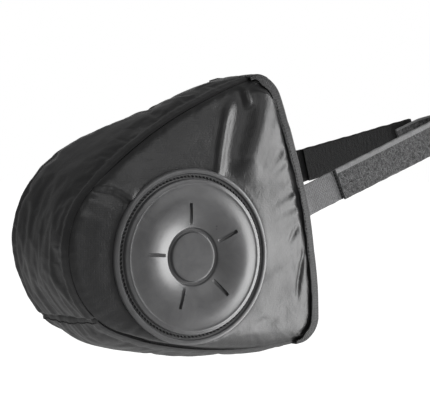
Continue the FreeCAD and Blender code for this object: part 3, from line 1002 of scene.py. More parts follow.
@dataclass
class OuterPanel:
    """The padded panel of the outer side, drawn from the curved seam to the disc's seat."""

    form: PouchForm
    seam_columns: int = 200
    mouth_columns: int = 90
    rows: int = 42
    seam_inset: float = 1.8
    seam_depth: float = 3.8
    roll_reach: float = 7.0
    under_disc: float = 48.0
    easing: int = 6
    crown: float = 0.9
    gather_height: float = 0.8
    pucker_height: float = 1.9
    tape_width: float = 7.8
    strap_height: float = 18.0
    filling: Filling = Filling(pressure=1.5, cap=2.0, spare_cloth=-0.004, bending=6.0)

    def grid(self) -> tuple[Points, Points, Points, Points]:
        """Lay out the panel in rows from its edge to the disc.

        Returns:
            The grid of points, the side-view places, and the distances from the edge and along it.
        """
        edge = self.form.edge(self.seam_columns, self.mouth_columns)
        along = lengths(edge)
        away = edge - self.form.centre
        inner = self.form.centre + unit(away) * self.under_disc
        sewn = np.arange(len(edge)) < self.seam_columns
        edge = edge - unit(away) * np.where(sewn, self.seam_inset, MOUTH_INSET)[:, None]
        share = np.linspace(0, 1, self.rows) ** 1.3
        places = edge[None] * (1 - share)[:, None, None] + inner[None] * share[:, None, None]
        points = in_space(places, eased(self.form.outer_y(places), self.easing))
        distance = np.linalg.norm(places - edge[None], axis=-1)
        return points, places, distance, along

    def relief(self, places: Points, distance: Points, along: Points) -> Points:
        """Give how far the cloth stands out from the plain form.

        Args:
            places: Pairs of x and z in millimetres.
            distance: Distances from the edge.
            along: Distances along the edge, one per column.

        Returns:
            The height of the cloth at each place.
        """
        sewn = sewn_share(places.shape[1], self.seam_columns)
        from_disc = self.form.from_disc(places)
        open_cloth = rising(from_disc, 0, 14)
        height = sewn * roll(distance, self.seam_depth, self.roll_reach)
        height = height + self.crown * open_cloth * rising(distance, 2, 22) * sewn
        # Gathers along the seam
        gathers = wander(along, 3, 9) + 0.6 * wander(along, 5, 4.5)
        near_seam = np.exp(-distance / 8) * rising(distance, 0, 3)
        height = height + sewn * gathers[None] * self.gather_height * near_seam
        # Puckers along the binding, strongest by the strap, and the hollow beside the tape
        gap = distance - self.tape_width
        strength = 0.35 + np.exp(-((places[..., 1] - self.strap_height) / 34) ** 2)
        puckers = wander(along, 8, 8) + 0.5 * wander(along, 9, 4)
        lump = np.exp(-np.clip(gap, 0, None) / 9) * rising(gap, -1, 4)
        height = height + (1 - sewn) * strength * puckers[None] * self.pucker_height * lump
        height = height - (1 - sewn) * strength * 1.3 * np.exp(-(gap / 2.2) ** 2)
        # The folds end under the disc and under the tape
        held = rising(from_disc, -6, 3) * (1 - (1 - sewn) * (1 - rising(gap, -2, 5)))
        for fold in OUTER_FOLDS:
            height = height + fold.offset(places) * held
        return height

    def build(self, finish: bpy.types.Material) -> None:
        """Make the panel.

        Args:
            finish: The cloth.
        """
        points, places, distance, along = self.grid()
        sewn_down = 1 - rising(distance, 7, 13) * rising(self.form.from_disc(places), 0, 8)
        points = self.filling.swollen(points, True, np.array([0.0, -1.0, 0.0]), sewn_down)
        normals = ring_normals(points)
        if normals[self.rows // 2, :, 1].mean() > 0:
            normals = -normals
        height = self.relief(places, distance, along)
        loose = rising(distance, 3, 16)
        height = height + 0.2 * loose * crinkle(points, 2, 19) + 0.07 * loose * crinkle(points, 4, 6)
        points = points + normals * height[..., None]
        hole = (*self.form.centre, self.under_disc + 4)
        padded_piece("outer_side_panel", points, places, finish, (0, -1, 0), True, hole)


def close_hole(obj: bpy.types.Object, middle: tuple) -> None:
    """Close the open edge round a place.

    Args:
        obj: The sheet.
        middle: The place in the side view and a radius that takes in the edge, in millimetres.
    """
    select_only(obj)
    with editing():
        bpy.ops.mesh.select_mode(type="EDGE")
        bpy.ops.mesh.select_all(action="DESELECT")
        bpy.ops.mesh.select_non_manifold(extend=False, use_boundary=True, use_wire=False,
                                         use_multi_face=False, use_non_contiguous=False, use_verts=False)
    mesh = obj.data
    for edge in mesh.edges:
        if edge.select:
            place = (mesh.vertices[edge.vertices[0]].co + mesh.vertices[edge.vertices[1]].co) / 2 / MM
            edge.select = math.hypot(place.x - middle[0], place.z - middle[1]) < middle[2]
    with editing():
        bpy.ops.mesh.edge_face_add()


def padded_piece(node: str, points: Points, uv: Points, finish: bpy.types.Material, outside: tuple,
                 closed: bool, hole: tuple = ()) -> None:
    """Make a padded piece of cloth with the wall's thickness from a grid of points, and dress it.

    Args:
        node: The CAD node that it stands for, which also names it.
        points: The grid in millimetres.
        uv: Places on the cloth in millimetres, in the same layout.
        finish: The cloth.
        outside: The direction that most of its faces should look in.
        closed: Whether the grid's rows are closed.
        hole: The middle of a hole to close, in the side view, and a radius that takes it in.
    """
    faces = grid_faces(*points.shape[:2], closed)
    obj = mesh_piece(f"{node}_cloth", points.reshape(-1, 3), faces, uv.reshape(-1, 2))
    face_towards(obj, Vector(outside))
    subdivide(obj)
    if hole:
        close_hole(obj, hole)
    add_modifier(obj, "SOLIDIFY", thickness=WALL * MM, offset=-1.0)
    apply_modifiers(obj)
    shade(obj, 60.0)
    dress(obj, finish, Slot.CLOTH, node)


def sewn_share(columns: int, seam_columns: int) -> Points:
    """Tell the sewn part of a panel's edge from the mouth's.

    Args:
        columns: Number of columns in all.
        seam_columns: Number of those on the seam, which come first.

    Returns:
        One row of weights: 1 where the edge is sewn and 0 at the mouth.
    """
    column = np.arange(columns).astype(float)
    fade, past = 8, 2
    ahead = rising(column, seam_columns - fade, seam_columns + past)
    return (rising(column, 0, fade) * (1 - ahead))[None]


@dataclass
class InnerPanel:
    """The padded panel of the wheel side, flat and slightly pillowed."""

    form: PouchForm
    columns: int = 220
    rows: int = 34
    seam_inset: float = 1.8
    roll_reach: float = 9.0
    crown: float = 2.5
    seam_share: float = 0.7
    middle_offset: tuple = (10.0, 20.0)
    filling: Filling = Filling(pressure=3.0, spare_cloth=0.014, bending=3.0)

    def build(self, finish: bpy.types.Material) -> None:
        """Make the panel, in rings from its edge to its middle.

        Args:
            finish: The cloth.
        """
        seam_count = int(self.columns * self.seam_share)
        edge = self.form.edge(seam_count, self.columns - seam_count)
        along = lengths(edge)
        middle = self.form.centre + np.array(self.middle_offset)
        sewn = sewn_share(self.columns, seam_count)
        inset = MOUTH_INSET + (self.seam_inset - MOUTH_INSET) * sewn[0]
        edge = edge - unit(edge - middle) * inset[:, None]
        share = np.linspace(0, 0.985, self.rows) ** 1.3
        places = edge[None] * (1 - share)[:, None, None] + middle * share[:, None, None]
        distance = np.linalg.norm(places - edge[None], axis=-1)
        height = WALL + sewn * roll(distance, WALL + 2, self.roll_reach)
        free = sewn + (1 - sewn) * rising(distance, 8, 60)
        height = height + self.crown * rising(distance, 4, 45) * free
        gathers = wander(along, 13, 10) + 0.6 * wander(along, 15, 5)
        height = height + sewn * gathers[None] * 0.6 * np.exp(-distance / 10) * rising(distance, 0, 4)
        flat = in_space(places, self.form.half_width(places[..., 0]))
        loose = rising(distance, 3, 18)
        height = height + loose * (0.9 * crinkle(flat, 21, 42) + 0.3 * crinkle(flat, 22, 13))
        outwards = unit(np.array([self.form.slope, 1.0, 0.0]))
        points = flat + height[..., None] * outwards
        swollen = self.filling.swollen(points, True, outwards, 1 - rising(distance, 7, 13))
        # The rings round the middle, where the columns run together, move as one
        move = swollen - points
        together = rising(share, 0.55, 0.88)[:, None, None]
        points = points + move * (1 - together) + move.mean(axis=1, keepdims=True) * together
        hole = (*middle, 20.0)
        padded_piece("inner_side_panel", self.form.swell(points), places, finish, (0, 1, 0), True, hole)


@dataclass
class Gusset:
    """A padded band between the two side panels, along a stretch of their seams.

    Its folds lie at pairs of distance along the seam and share of the way across, in percent.
    """

    form: PouchForm
    node: str
    start: float
    end: float
    ends_at_cross: bool
    crown: float
    gather_reach: float
    seed: float
    columns: int
    folds: tuple
    rows: int = 48
    gather_height: float = 1.15
    seam_inset: float = 1.8
    seam_depth: float = 2.2
    roll_reach: float = 7.0
    filling: Filling = Filling(spare_cloth=0.022)

    def relief(self, along: Points, from_seam: Points, share: Points, from_cross: Points) -> Points:
        """Give how far the cloth stands out from the plain band.

        Args:
            along: Distances along the seam, one per column.
            from_seam: Distances from the nearer seam.
            share: Shares of the way from the outer seam to the inner one.
            from_cross: Distances from the cross seam, one per column.

        Returns:
            The height of the cloth at each place.
        """
        height = roll(from_seam, self.seam_depth, self.roll_reach)
        height = height + self.crown * np.sin(math.pi * share) ** 0.8
        # The seam allowance's ridge beside each seam
        height = height + 0.7 * np.exp(-((from_seam - 6.5) / 2.2) ** 2)
        height = height - 0.5 * np.exp(-((from_seam - 11) / 2.6) ** 2)
        # The band turns in at the cross seam, where it is gathered
        height = height + roll(from_cross, 3.4, 5.0)[None]
        across = share * 100
        pleats = wander(across, self.seed + 1, 4.2) + 0.5 * wander(across, self.seed + 2, 2.4)
        height = height + self.gather_height * pleats * np.exp(
            -from_cross / self.gather_reach)[None] * rising(from_cross, 0, 5)[None]
        gathers = wander(along, self.seed + 3, 9) + 0.6 * wander(along, self.seed + 4, 4.5)
        return height + 0.5 * gathers[None] * np.exp(-from_seam / 8) * rising(from_seam, 0, 3)

    def sew(self, points: Points, push: Points, from_cross: Points, thread: bpy.types.Material) -> None:
        """Sew a row of stitches beside the cross seam.

        Args:
            points: The band's grid of points.
            push: The directions away from the pouch, one per column.
            from_cross: Distances from the cross seam, one per column.
            thread: The thread.
        """
        inset, count, lift = 4.0, 36, 0.1
        column = int(np.argmin(np.abs(from_cross - inset)))
        path = resampled(points[2:-2, column], count)
        up = np.broadcast_to(push[column], path.shape)
        along = unit(np.gradient(path, axis=0))
        row = stitches("cross_seam_stitches", path + up * lift, along, up, length=2.2, radius=0.45)
        dress(row, thread, Slot.CLOTH)

    def build(self, finish: bpy.types.Material, thread: bpy.types.Material) -> None:
        """Make the band.

        Args:
            finish: The cloth.
            thread: The thread of the cross seam.
        """
        whole = self.form.seam(SEAM_POINTS)
        marks = lengths(whole)
        picked = np.linspace(self.start, self.end, self.columns) * marks[-1]
        line = np.stack([np.interp(picked, marks, whole[:, i]) for i in range(2)], axis=1)
        outward = self.form.outward(line)
        half = self.form.half_width(line[:, 0]) - self.seam_inset
        share = (1 - np.cos(np.linspace(0, math.pi, self.rows))) / 2
        share = 0.35 * share + 0.65 * np.linspace(0, 1, self.rows)
        y = -half[None] + 2 * half[None] * share[:, None]
        from_seam = half[None] - np.abs(y)
        from_cross = np.abs(picked - (picked[-1] if self.ends_at_cross else picked[0]))
        height = self.relief(picked, from_seam, np.broadcast_to(share[:, None], y.shape), from_cross)
        spots = np.stack(np.broadcast_arrays(picked[None], share[:, None] * 100), axis=-1)
        for fold in self.folds:
            height = height + fold.offset(spots)
        flat = in_space(np.broadcast_to(line, (*y.shape, 2)), y)
        loose = rising(from_seam, 3, 14)
        swags = 0.7 * crinkle(flat, self.seed, 34) + 0.28 * crinkle(flat, self.seed + 1, 11)
        height = height + loose * swags
        push = in_space(outward, np.zeros(len(line)))
        points = flat + height[..., None] * push[None]
        from_ends = np.minimum(picked - picked[0], picked[-1] - picked)[None]
        sewn_down = 1 - rising(from_seam, 5, 10) * rising(from_ends, 4, 10)
        outside = push[len(push) // 2]
        points = self.form.swell(self.filling.swollen(points, False, outside, sewn_down))
        if not self.ends_at_cross:
            self.sew(points, push, from_cross, thread)
        uv = np.stack(np.broadcast_arrays(picked[None], y), axis=-1)
        padded_piece(self.node, points, uv, finish, outside, False)


@dataclass
class MouthBinding:
    """The folded tape sewn over the mouth's edge: two side runs and two that cross the gussets."""

    form: PouchForm
    lap: float = 7.4
    tape: float = 1.0
    top_back: float = 15.0
    bottom_back: float = 14.0
    narrowing: float = 0.72
    side_points: int = 150
    cross_points: int = 24
    cross_thinning: float = 0.8
    cross_overhang: float = 2.0
    sewing_points: int = 400
    stitch_count: int = 76
    stitch_inset: float = 1.8
    stitch_lift: float = 0.15

    def profile(self) -> Points:
        """Draw the folded tape's closed profile.

        Returns:
            Pairs of distance into the cloth and away from its middle.
        """
        tape, lap = self.tape, self.lap
        half = WALL / 2 + 0.1
        out = half + tape
        outer = [(lap, out), (lap * 0.66, out), (lap * 0.33, out), (0.6, out), (-0.4, out - 0.25),
                 (-tape, half - 0.3), (-tape, 0), (-tape, 0.3 - half), (-0.4, 0.25 - out), (0.6, -out),
                 (lap * 0.33, -out), (lap * 0.66, -out), (lap, -out)]
        inner = [(lap + 0.25, -half - tape / 2), (lap, -half), (lap * 0.5, -half), (0.1, -half), (0.1, half),
                 (lap * 0.5, half), (lap, half), (lap + 0.25, half + tape / 2)]
        return np.array(outer + inner)

    def side_line(self, worn: bool = True) -> Points:
        """Give the edge's line in the side view, with its laps over both gussets.

        Args:
            worn: Whether the worn outline is read, or else the plain one.

        Returns:
            The line's points.
        """
        top = self.form.corner(TOP_EDGE_X - self.top_back, True)
        bottom = self.form.corner(BOTTOM_EDGE_X - self.bottom_back, False)
        return resampled(self.form.stretch(bottom, top, worn), self.side_points)

    def side_run(self, name: str, outer: bool) -> bpy.types.Object:
        """Make the run along one side panel.

        Args:
            name: The piece's name.
            outer: Whether it is the outer side.

        Returns:
            The new object.
        """
        line = self.side_line()
        inward = -self.form.outward(line)
        if outer:
            plain = self.side_line(worn=False)
            near, far = 2.0, 9.0
            edge_y = self.form.outer_y(plain + inward * near)
            lap_y = self.form.outer_y(plain + inward * far)
            tilt = (lap_y - edge_y) / (far - near)
            depth = edge_y - tilt * near
            sign = -1.0
        else:
            depth = self.form.half_width(line[:, 0]) + WALL
            tilt = -self.form.slope * inward[:, 0]
            sign = 1.0
        skin = in_space(line, depth)
        across = unit(in_space(inward, tilt))
        run = unit(np.gradient(skin, axis=0))
        normal = unit(np.cross(run, across))
        normal = normal * np.sign(normal[:, 1:2]) * sign
        path = skin - normal * WALL / 2
        along = lengths(path)
        shapes = np.repeat(self.profile()[None], len(path), axis=0)
        leaf = np.clip(shapes[..., 0] / self.lap, 0, 1)
        # The tape narrows where it turns over the gussets
        ends = np.minimum(along, along[-1] - along)
        shapes[..., 0] *= 1 - leaf * (self.narrowing * (1 - rising(ends, 1, 13)))[:, None]
        # Its free edge lifts and wanders, most beside the straps
        loose = np.exp(-((line[:, 1] - 12) / 30) ** 2)
        lift = ((0.35 + 0.5 * loose) * wander(along, 31 if outer else 32, 11) + 0.15 + 0.4 * loose)[:, None]
        shapes[..., 1] += np.sign(shapes[..., 1]) * leaf * leaf * np.clip(lift, -0.1, 1.5)
        shapes[..., 0] += leaf * wander(along, 33 if outer else 34, 7)[:, None] * 0.35
        tape = sweep(name, path, across, normal, shapes)
        if not outer:
            remould(tape, self.form.swell)
        return tape

    def crossing(self, name: str, top: bool) -> bpy.types.Object:
        """Make the run across a gusset, from side to side.

        Args:
            name: The piece's name.
            top: Whether it crosses at the top.

        Returns:
            The new object.
        """
        x = TOP_EDGE_X if top else BOTTOM_EDGE_X
        lap = self.top_back if top else self.bottom_back
        ends = [self.form.corner(x, top), self.form.corner(x - lap, top)]
        line = resampled(self.form.stretch(*(ends if top else ends[::-1])), 9)
        out = self.form.outward(line)
        if not top:
            line, out = line[::-1], out[::-1]
        ahead = unit(line[0] - line[1])
        tape = self.tape * self.cross_thinning
        nose = [line[0] + ahead * tape + out[0] * part for part in (0.0, -WALL / 2, -WALL)]
        profile = np.concatenate([
            (line + out * tape)[::-1], nose, line - out * (WALL + tape), (line - out * WALL)[::-1], line])
        half = float(self.form.half_width(x)) + self.cross_overhang
        y = np.linspace(-half, half, self.cross_points)
        path = np.stack([y * 0, y, y * 0], axis=1)
        ahead_way = np.broadcast_to([1.0, 0, 0], path.shape)
        up_way = np.broadcast_to([0, 0, 1.0], path.shape)
        run = sweep(name, path, ahead_way, up_way, profile)
        remould(run, self.form.swell)
        return run

    def build(self, finish: bpy.types.Material, thread: bpy.types.Material) -> None:
        """Make the binding and its stitching.

        Args:
            finish: The tape.
            thread: The thread.
        """
        runs = [self.side_run("mouth_binding_tape", True), self.side_run("inner_run", False),
                self.crossing("top_run", True), self.crossing("bottom_run", False)]
        select_only(runs[0])
        for run in runs:
            run.select_set(True)
        bpy.ops.object.join()
        shade(runs[0], 50.0)
        dress(runs[0], finish, Slot.BINDING, "mouth_binding")
        self.sew(thread)

    def sew(self, thread: bpy.types.Material) -> None:
        """Sew a row of stitches along the outer run.

        Args:
            thread: The thread.
        """
        line = resampled(self.side_line(), self.sewing_points)
        inward = -self.form.outward(line)
        spots = line + inward * (self.lap - self.stitch_inset)
        depth = self.form.outer_y(spots) - self.tape - self.stitch_lift
        path = resampled(in_space(spots, depth), self.stitch_count)
        along = unit(np.gradient(path, axis=0))
        up = np.broadcast_to([0.3, -0.95, 0.0], path.shape)
        obj = stitches("mouth_binding_stitches", path[1:-1], along[1:-1], up[1:-1],
                       length=2.4, radius=0.32)
        dress(obj, thread, Slot.BINDING)


# The disc's turned section, from its rim to its middle: radius and height in millimetres
DISC_SECTION = (
    (64.9, 1.2), (64.7, 1.9), (64.2, 2.5), (63.3, 2.9), (61.7, 3.1), (61.2, 2.9), (61.0, 1.3),
    (60.7, 0.7), (57.5, 0.7), (57.2, 1.3), (57.2, 4.2), (56.9, 4.8), (56.2, 5.1), (54.9, 5.35),
    (54.5, 5.7), (54.0, 5.85), (53.5, 5.75), (53.0, 5.6), (51.0, 6.0), (47.5, 6.9), (44.5, 7.6),
    (41.5, 7.95), (38.5, 7.95), (35.0, 7.6), (31.5, 7.0), (28.0, 6.1), (25.0, 5.1), (23.0, 4.4),
    (21.8, 3.95), (21.3, 3.6), (21.1, 2.4), (20.7, 1.9), (18.7, 1.9), (18.3, 2.4), (18.1, 4.1),
    (17.7, 4.55), (17.0, 4.65), (10.0, 4.7), (4.0, 4.72),
)


@dataclass
class BumperDisc:
    """The moulded disc: a flat flange, a sewing groove, a rounded ring with five slots, and a button."""

    radius: float = DISC_RADIUS
    rim: float = 0.7
    segments: int = 144
    slot_start: float = 23.5
    slot_end: float = 40.0
    slot_width: float = 2.7
    slot_floor: float = 4.4
    slot_angles: tuple = (96.0, 27.5, -46.5, -110.0, 176.0)
    groove_radius: float = 58.9
    stitch_count: int = 118
    stitch_height: float = 1.2
    stitch_slant: float = 0.35

    def place(self) -> Matrix:
        """Give the disc's place on its seat, from its own axes with z away from the pouch."""
        turn = Matrix.Rotation(math.radians(DISC_YAW), 4, "Z") @ Matrix.Rotation(math.radians(90), 4, "X")
        return Matrix.Translation(Vector(DISC_CENTRE) * MM) @ turn

    def turned(self) -> bpy.types.Object:
        """Turn the disc: a cylinder whose top is inset and raised ring by ring.

        Returns:
            The disc on its own axes.
        """
        bpy.ops.object.select_all(action="DESELECT")
        bpy.ops.mesh.primitive_cylinder_add(vertices=self.segments, radius=self.radius * MM,
                                            depth=self.rim * MM, location=(0, 0, self.rim / 2 * MM))
        disc = bpy.context.object
        disc.name = "bumper_disc_rubber"
        disc.data.name = disc.name
        bpy.ops.object.transform_apply(location=True, rotation=True, scale=True)
        with editing():
            bpy.ops.mesh.select_mode(type="FACE")
            bpy.ops.mesh.select_all(action="DESELECT")
        for face in disc.data.polygons:
            face.select = face.normal.z > 0.9
        half_turn = math.cos(math.pi / self.segments)
        radius, height = self.radius, self.rim
        with editing():
            for next_radius, next_height in DISC_SECTION:
                bpy.ops.mesh.inset(thickness=(radius - next_radius) * half_turn * MM,
                                   depth=(next_height - height) * MM)
                radius, height = next_radius, next_height
            bpy.ops.mesh.delete(type="FACE")
            bpy.ops.mesh.select_all(action="DESELECT")
        for face in disc.data.polygons:
            face.select = face.normal.z < -0.9
        with editing():
            bpy.ops.mesh.delete(type="FACE")
        subdivide(disc)
        with editing():
            bpy.ops.mesh.select_all(action="SELECT")
            bpy.ops.mesh.fill_holes(sides=0)
        face_outwards(disc)
        return disc

    def cut_slots(self, disc: bpy.types.Object) -> None:
        """Cut the five slots into the rounded ring.

        Args:
            disc: The disc on its own axes.
        """
        length = self.slot_end - self.slot_start
        tall = 10.0
        for angle in self.slot_angles:
            bpy.ops.object.select_all(action="DESELECT")
            bpy.ops.mesh.primitive_cube_add(size=1)
            cutter = bpy.context.object
            cutter.scale = (length * MM, self.slot_width * MM, tall * MM)
            bpy.ops.object.transform_apply(location=True, rotation=True, scale=True)
            add_modifier(cutter, "BEVEL", width=0.7 * MM, segments=3)
            apply_modifiers(cutter)
            turn = Matrix.Rotation(math.radians(angle), 4, "Z")
            shift = Vector(((self.slot_start + length / 2) * MM, 0, (self.slot_floor + tall / 2) * MM))
            cutter.data.transform(turn @ Matrix.Translation(shift))
            add_modifier(disc, "BOOLEAN", operation="DIFFERENCE", object=cutter, solver="EXACT")
            apply_modifiers(disc)
            bpy.data.objects.remove(cutter, do_unlink=True)

    def build(self, finish: bpy.types.Material, thread: bpy.types.Material) -> None:
        """Make the disc and the stitching in its groove.

        Args:
            finish: The rubber.
            thread: The thread.
        """
        disc = self.turned()
        self.cut_slots(disc)
        disc.data.transform(self.place())
        shade(disc, 35.0)
        dress(disc, finish, Slot.RUBBER, "bumper_disc")
        turns = np.arange(self.stitch_count) / self.stitch_count * 2 * math.pi
        spots = np.stack([np.cos(turns), np.sin(turns), np.zeros(len(turns))], axis=1)
        middles = spots * self.groove_radius + np.array([0, 0, self.stitch_height])
        around = np.stack([-np.sin(turns), np.cos(turns), np.zeros(len(turns))], axis=1)
        along = around + self.stitch_slant * spots
        up = np.broadcast_to([0.0, 0.0, 1.0], spots.shape)
        sewing = stitches("bumper_disc_stitches", middles, unit(along), up, length=2.7, radius=0.55)
        sewing.data.transform(self.place())
        dress(sewing, thread, Slot.RUBBER)


@dataclass
class Strap:
    """A flat strap along a path in its own plane: along the strap, and then across the mouth."""

    name: str
    node: str
    slot: Slot
    height: float
    rise: float
    path: tuple
    thickness: float
    width: float = STRAP_WIDTH
    rib_count: int = 0
    rib_height: float = 0.0
    ragged: float = 0.0
    seed: float = 1.0
    stations: int = 160
    easing: int = 14

    def axes(self) -> tuple[Points, Points, Points]:
        """Work out the strap's directions.

        Returns:
            Unit vectors along it, across the mouth and across its width.
        """
        angle = math.radians(self.rise)
        ahead = np.array([math.cos(angle), 0, math.sin(angle)])
        wide = np.array([-math.sin(angle), 0, math.cos(angle)])
        return ahead, np.array([0.0, 1.0, 0.0]), wide

    def line(self) -> Points:
        """Divide the path finely and ease its corners.

        Returns:
            The path's points.
        """
        line = resampled(np.array(self.path, dtype=float), self.stations)
        for _ in range(self.easing):
            line[1:-1] = (line[:-2] + 2 * line[1:-1] + line[2:]) / 4
        return line

    def profile(self) -> Points:
        """Draw the strap's section.

        Returns:
            Pairs of distance across its width and through it.
        """
        half = self.width / 2
        thick = self.thickness / 2
        count = max(self.rib_count * 4, 16)
        across = np.linspace(-half + 0.5, half - 0.5, count)
        face = np.full(count, thick)
        if self.rib_count:
            waves = np.abs(np.sin(np.linspace(0, math.pi * self.rib_count, count)))
            face = thick - self.rib_height * (1 - waves)
        top = np.stack([across, face], axis=1)
        under = np.stack([across[::-1], -face[::-1]], axis=1)
        side = np.array([(half - 0.1, thick * 0.55), (half, 0.0), (half - 0.1, -thick * 0.55)])
        return np.concatenate([top, side, under, side[::-1] * [-1, 1]])

    def build(self, finish: bpy.types.Material) -> None:
        """Make the strap.

        Args:
            finish: Its weave or pile.
        """
        ahead, over, wide = self.axes()
        line = self.line()
        base = np.array([0, 0, self.height])
        path = base + line[:, :1] * ahead + line[:, 1:] * over
        run = unit(np.gradient(path, axis=0))
        normal = unit(np.cross(np.broadcast_to(wide, run.shape), run))
        along = lengths(path)
        shapes = np.repeat(self.profile()[None], len(path), axis=0)
        edge = np.abs(shapes[..., 0]) / (self.width / 2)
        shapes[..., 0] += np.sign(shapes[..., 0]) * edge ** 8 * wander(along, self.seed, 6)[:, None] * 0.25
        shapes[..., 1] += wander(along, self.seed + 1, 40)[:, None] * 0.25 * (1 - edge ** 2)
        if self.ragged:
            pitch = 0.9
            fuzz = [[smooth_noise(Vector((a * pitch, b[0] * pitch, self.seed))) for b in self.profile()]
                    for a in along]
            shapes[..., 1] += np.sign(shapes[..., 1]) * np.array(fuzz) * self.ragged
        obj = sweep(self.name, path, np.broadcast_to(wide, run.shape), normal, shapes)
        shade(obj, 45.0)
        dress(obj, finish, self.slot, self.node)


@dataclass
class Studio:
    """The pale floor, the soft lights and the camera of the photograph."""

    azimuth: float = -28.0
    elevation: float = 2.0
    distance: float = 2200.0
    aside: float = 17.9
    above: float = 38.6
    focal_pixels: float = 3003.0
    floor_drop: float = 1200.0
    floor_size: float = 90.0
    floor_gloss: float = 0.06
    room_light: float = 0.42
    room_gloss: float = 0.2
    backdrop_edge: tuple = (0.94, 0.99)
    lamp_aim: tuple = (-0.1, 0.0, 0.0)

    def axes(self) -> tuple[Vector, Vector, Vector]:
        """Work out the camera's directions.

        Returns:
            Unit vectors back, right and up.
        """
        azimuth, elevation = math.radians(self.azimuth), math.radians(self.elevation)
        back = Vector((math.sin(azimuth) * math.cos(elevation), -math.cos(azimuth) * math.cos(elevation),
                       math.sin(elevation)))
        right = Vector((math.cos(azimuth), math.sin(azimuth), 0))
        return back, right, back.cross(right)

    def add_camera(self) -> None:
        """Put the camera where the photograph was taken from."""
        back, right, up = self.axes()
        data = bpy.data.cameras.new("camera")
        data.sensor_width = SENSOR
        data.lens = self.focal_pixels * SENSOR / PHOTO_WIDTH
        data.clip_end = 50
        camera = add_object("camera", data)
        place = Vector(DISC_CENTRE) + back * self.distance + right * self.aside + up * self.above
        turn = Matrix((right, up, back)).transposed().to_4x4()
        camera.matrix_world = Matrix.Translation(place * MM) @ turn
        bpy.context.scene.camera = camera

    def add_light(self, name: str, place: tuple, size: tuple, power: float) -> None:
        """Add a soft rectangular lamp that looks at the pouch.

        Args:
            name: The lamp's name.
            place: Its place in metres.
            size: Its width and height in metres.
            power: Its power in watts.
        """
        data = bpy.data.lights.new(name, "AREA")
        data.shape = "RECTANGLE"
        data.size, data.size_y = size
        data.energy = power
        lamp = add_object(name, data)
        aim = Vector(self.lamp_aim) - Vector(place)
        lamp.matrix_world = Matrix.Translation(place) @ aim.to_track_quat("-Z", "Y").to_matrix().to_4x4()

    def add_world(self) -> None:
        """Make the surroundings white to the camera and to gloss, and a plain grey light to the rest."""
        world = bpy.data.worlds.new("studio")
        bpy.context.scene.world = world
        world.use_nodes = True
        tree = world.node_tree
        tree.nodes.clear()
        path = add_node(tree, "ShaderNodeLightPath")
        clear = worked_out(tree, "MAXIMUM", path.outputs["Is Camera Ray"],
                           path.outputs["Is Transmission Ray"])
        # Gloss sees the white backdrop only where that stands, behind the pouch
        way = add_node(tree, "ShaderNodeTexCoord")
        behind = add_node(tree, "ShaderNodeVectorMath", {"operation": "DOT_PRODUCT"},
                          {0: way.outputs["Generated"], 1: -self.axes()[0]})
        backdrop = ranged(tree, behind.outputs["Value"], *self.backdrop_edge)
        mirrored = worked_out(tree, "MULTIPLY", path.outputs["Is Glossy Ray"], backdrop)
        seen = worked_out(tree, "MAXIMUM", clear, mirrored)
        white = add_node(tree, "ShaderNodeBackground", None, {"Color": linear("#ffffff"), "Strength": 1.0})
        # The room in front is dim in a mirror, and its light is soft and even on the rest
        dim = ranged(tree, path.outputs["Is Glossy Ray"], 0.0, 1.0, self.room_light, self.room_gloss)
        grey = add_node(tree, "ShaderNodeBackground", None, {"Color": linear("#ffffff"), "Strength": dim})
        mix = add_node(tree, "ShaderNodeMixShader", None, {0: seen, 1: grey.outputs[0], 2: white.outputs[0]})
        add_node(tree, "ShaderNodeOutputWorld", None, {"Surface": mix.outputs[0]})

    def add_floor(self) -> None:
        """Lay a wide pale floor well below the pouch, which hangs."""
        bpy.ops.object.select_all(action="DESELECT")
        low = CAD_BOX[0][2] - self.floor_drop * MM
        bpy.ops.mesh.primitive_plane_add(size=self.floor_size, location=(0, 0, low))
        floor = bpy.context.object
        floor.name = "floor"
        material = bpy.data.materials.new("pale_floor")
        material.use_nodes = True
        tree = material.node_tree
        tree.nodes.clear()
        path = add_node(tree, "ShaderNodeLightPath")
        paint = add_node(tree, "ShaderNodeBsdfDiffuse", None, {"Color": linear("#e8e8e8")})
        glow = add_node(tree, "ShaderNodeEmission", None, {"Color": linear("#ffffff"), "Strength": 0.8})
        both = add_node(tree, "ShaderNodeAddShader", None, {0: paint.outputs[0], 1: glow.outputs[0]})
        # Satin cloth and rubber show the bright floor only faintly
        faint = worked_out(tree, "MULTIPLY", path.outputs["Is Glossy Ray"], self.floor_gloss)
        mirrored = worked_out(tree, "MAXIMUM", faint, path.outputs["Is Transmission Ray"])
        seen = worked_out(tree, "MAXIMUM", path.outputs["Is Camera Ray"], mirrored)
        mix = add_node(tree, "ShaderNodeMixShader", None, {0: seen, 1: paint.outputs[0], 2: both.outputs[0]})
        add_node(tree, "ShaderNodeOutputMaterial", None, {"Surface": mix.outputs[0]})
        floor.data.materials.append(material)

    def build(self) -> None:
        """Set up the whole studio."""
        bpy.context.scene.view_settings.view_transform = "Standard"
        self.add_camera()
        self.add_world()
        self.add_floor()
        self.add_light("key_right", place=(1.4, -0.55, -0.2), size=(0.9, 2.1), power=35.0)
        self.add_light("fill_front", place=(0.3, -1.8, 1.1), size=(1.4, 0.9), power=5.0)


def bend_path(start: tuple, touch_height: float, ahead: float, radius: float, end: float) -> tuple:
    """Give the path of a tape that runs ahead, turns back round a bend and returns.

    Args:
        start: Where the tape begins, along and across.
        touch_height: Where the run meets the bend, across.
        ahead: The bend's middle, along.
        radius: The bend's radius at the middle of the tape.
        end: Where the tape ends, along.

    Returns:
        The path's points.
    """
    first = math.asin(max(-1.0, touch_height / radius))
    turns = np.linspace(first, math.pi / 2, 24)
    around = [(ahead + radius * math.cos(t), radius * math.sin(t)) for t in turns]
    return (start, *around, (end, radius))


NEAR_STRAP = {"height": 7.5, "rise": 22.0}
FAR_STRAP = {"height": 29.5, "rise": 13.5}


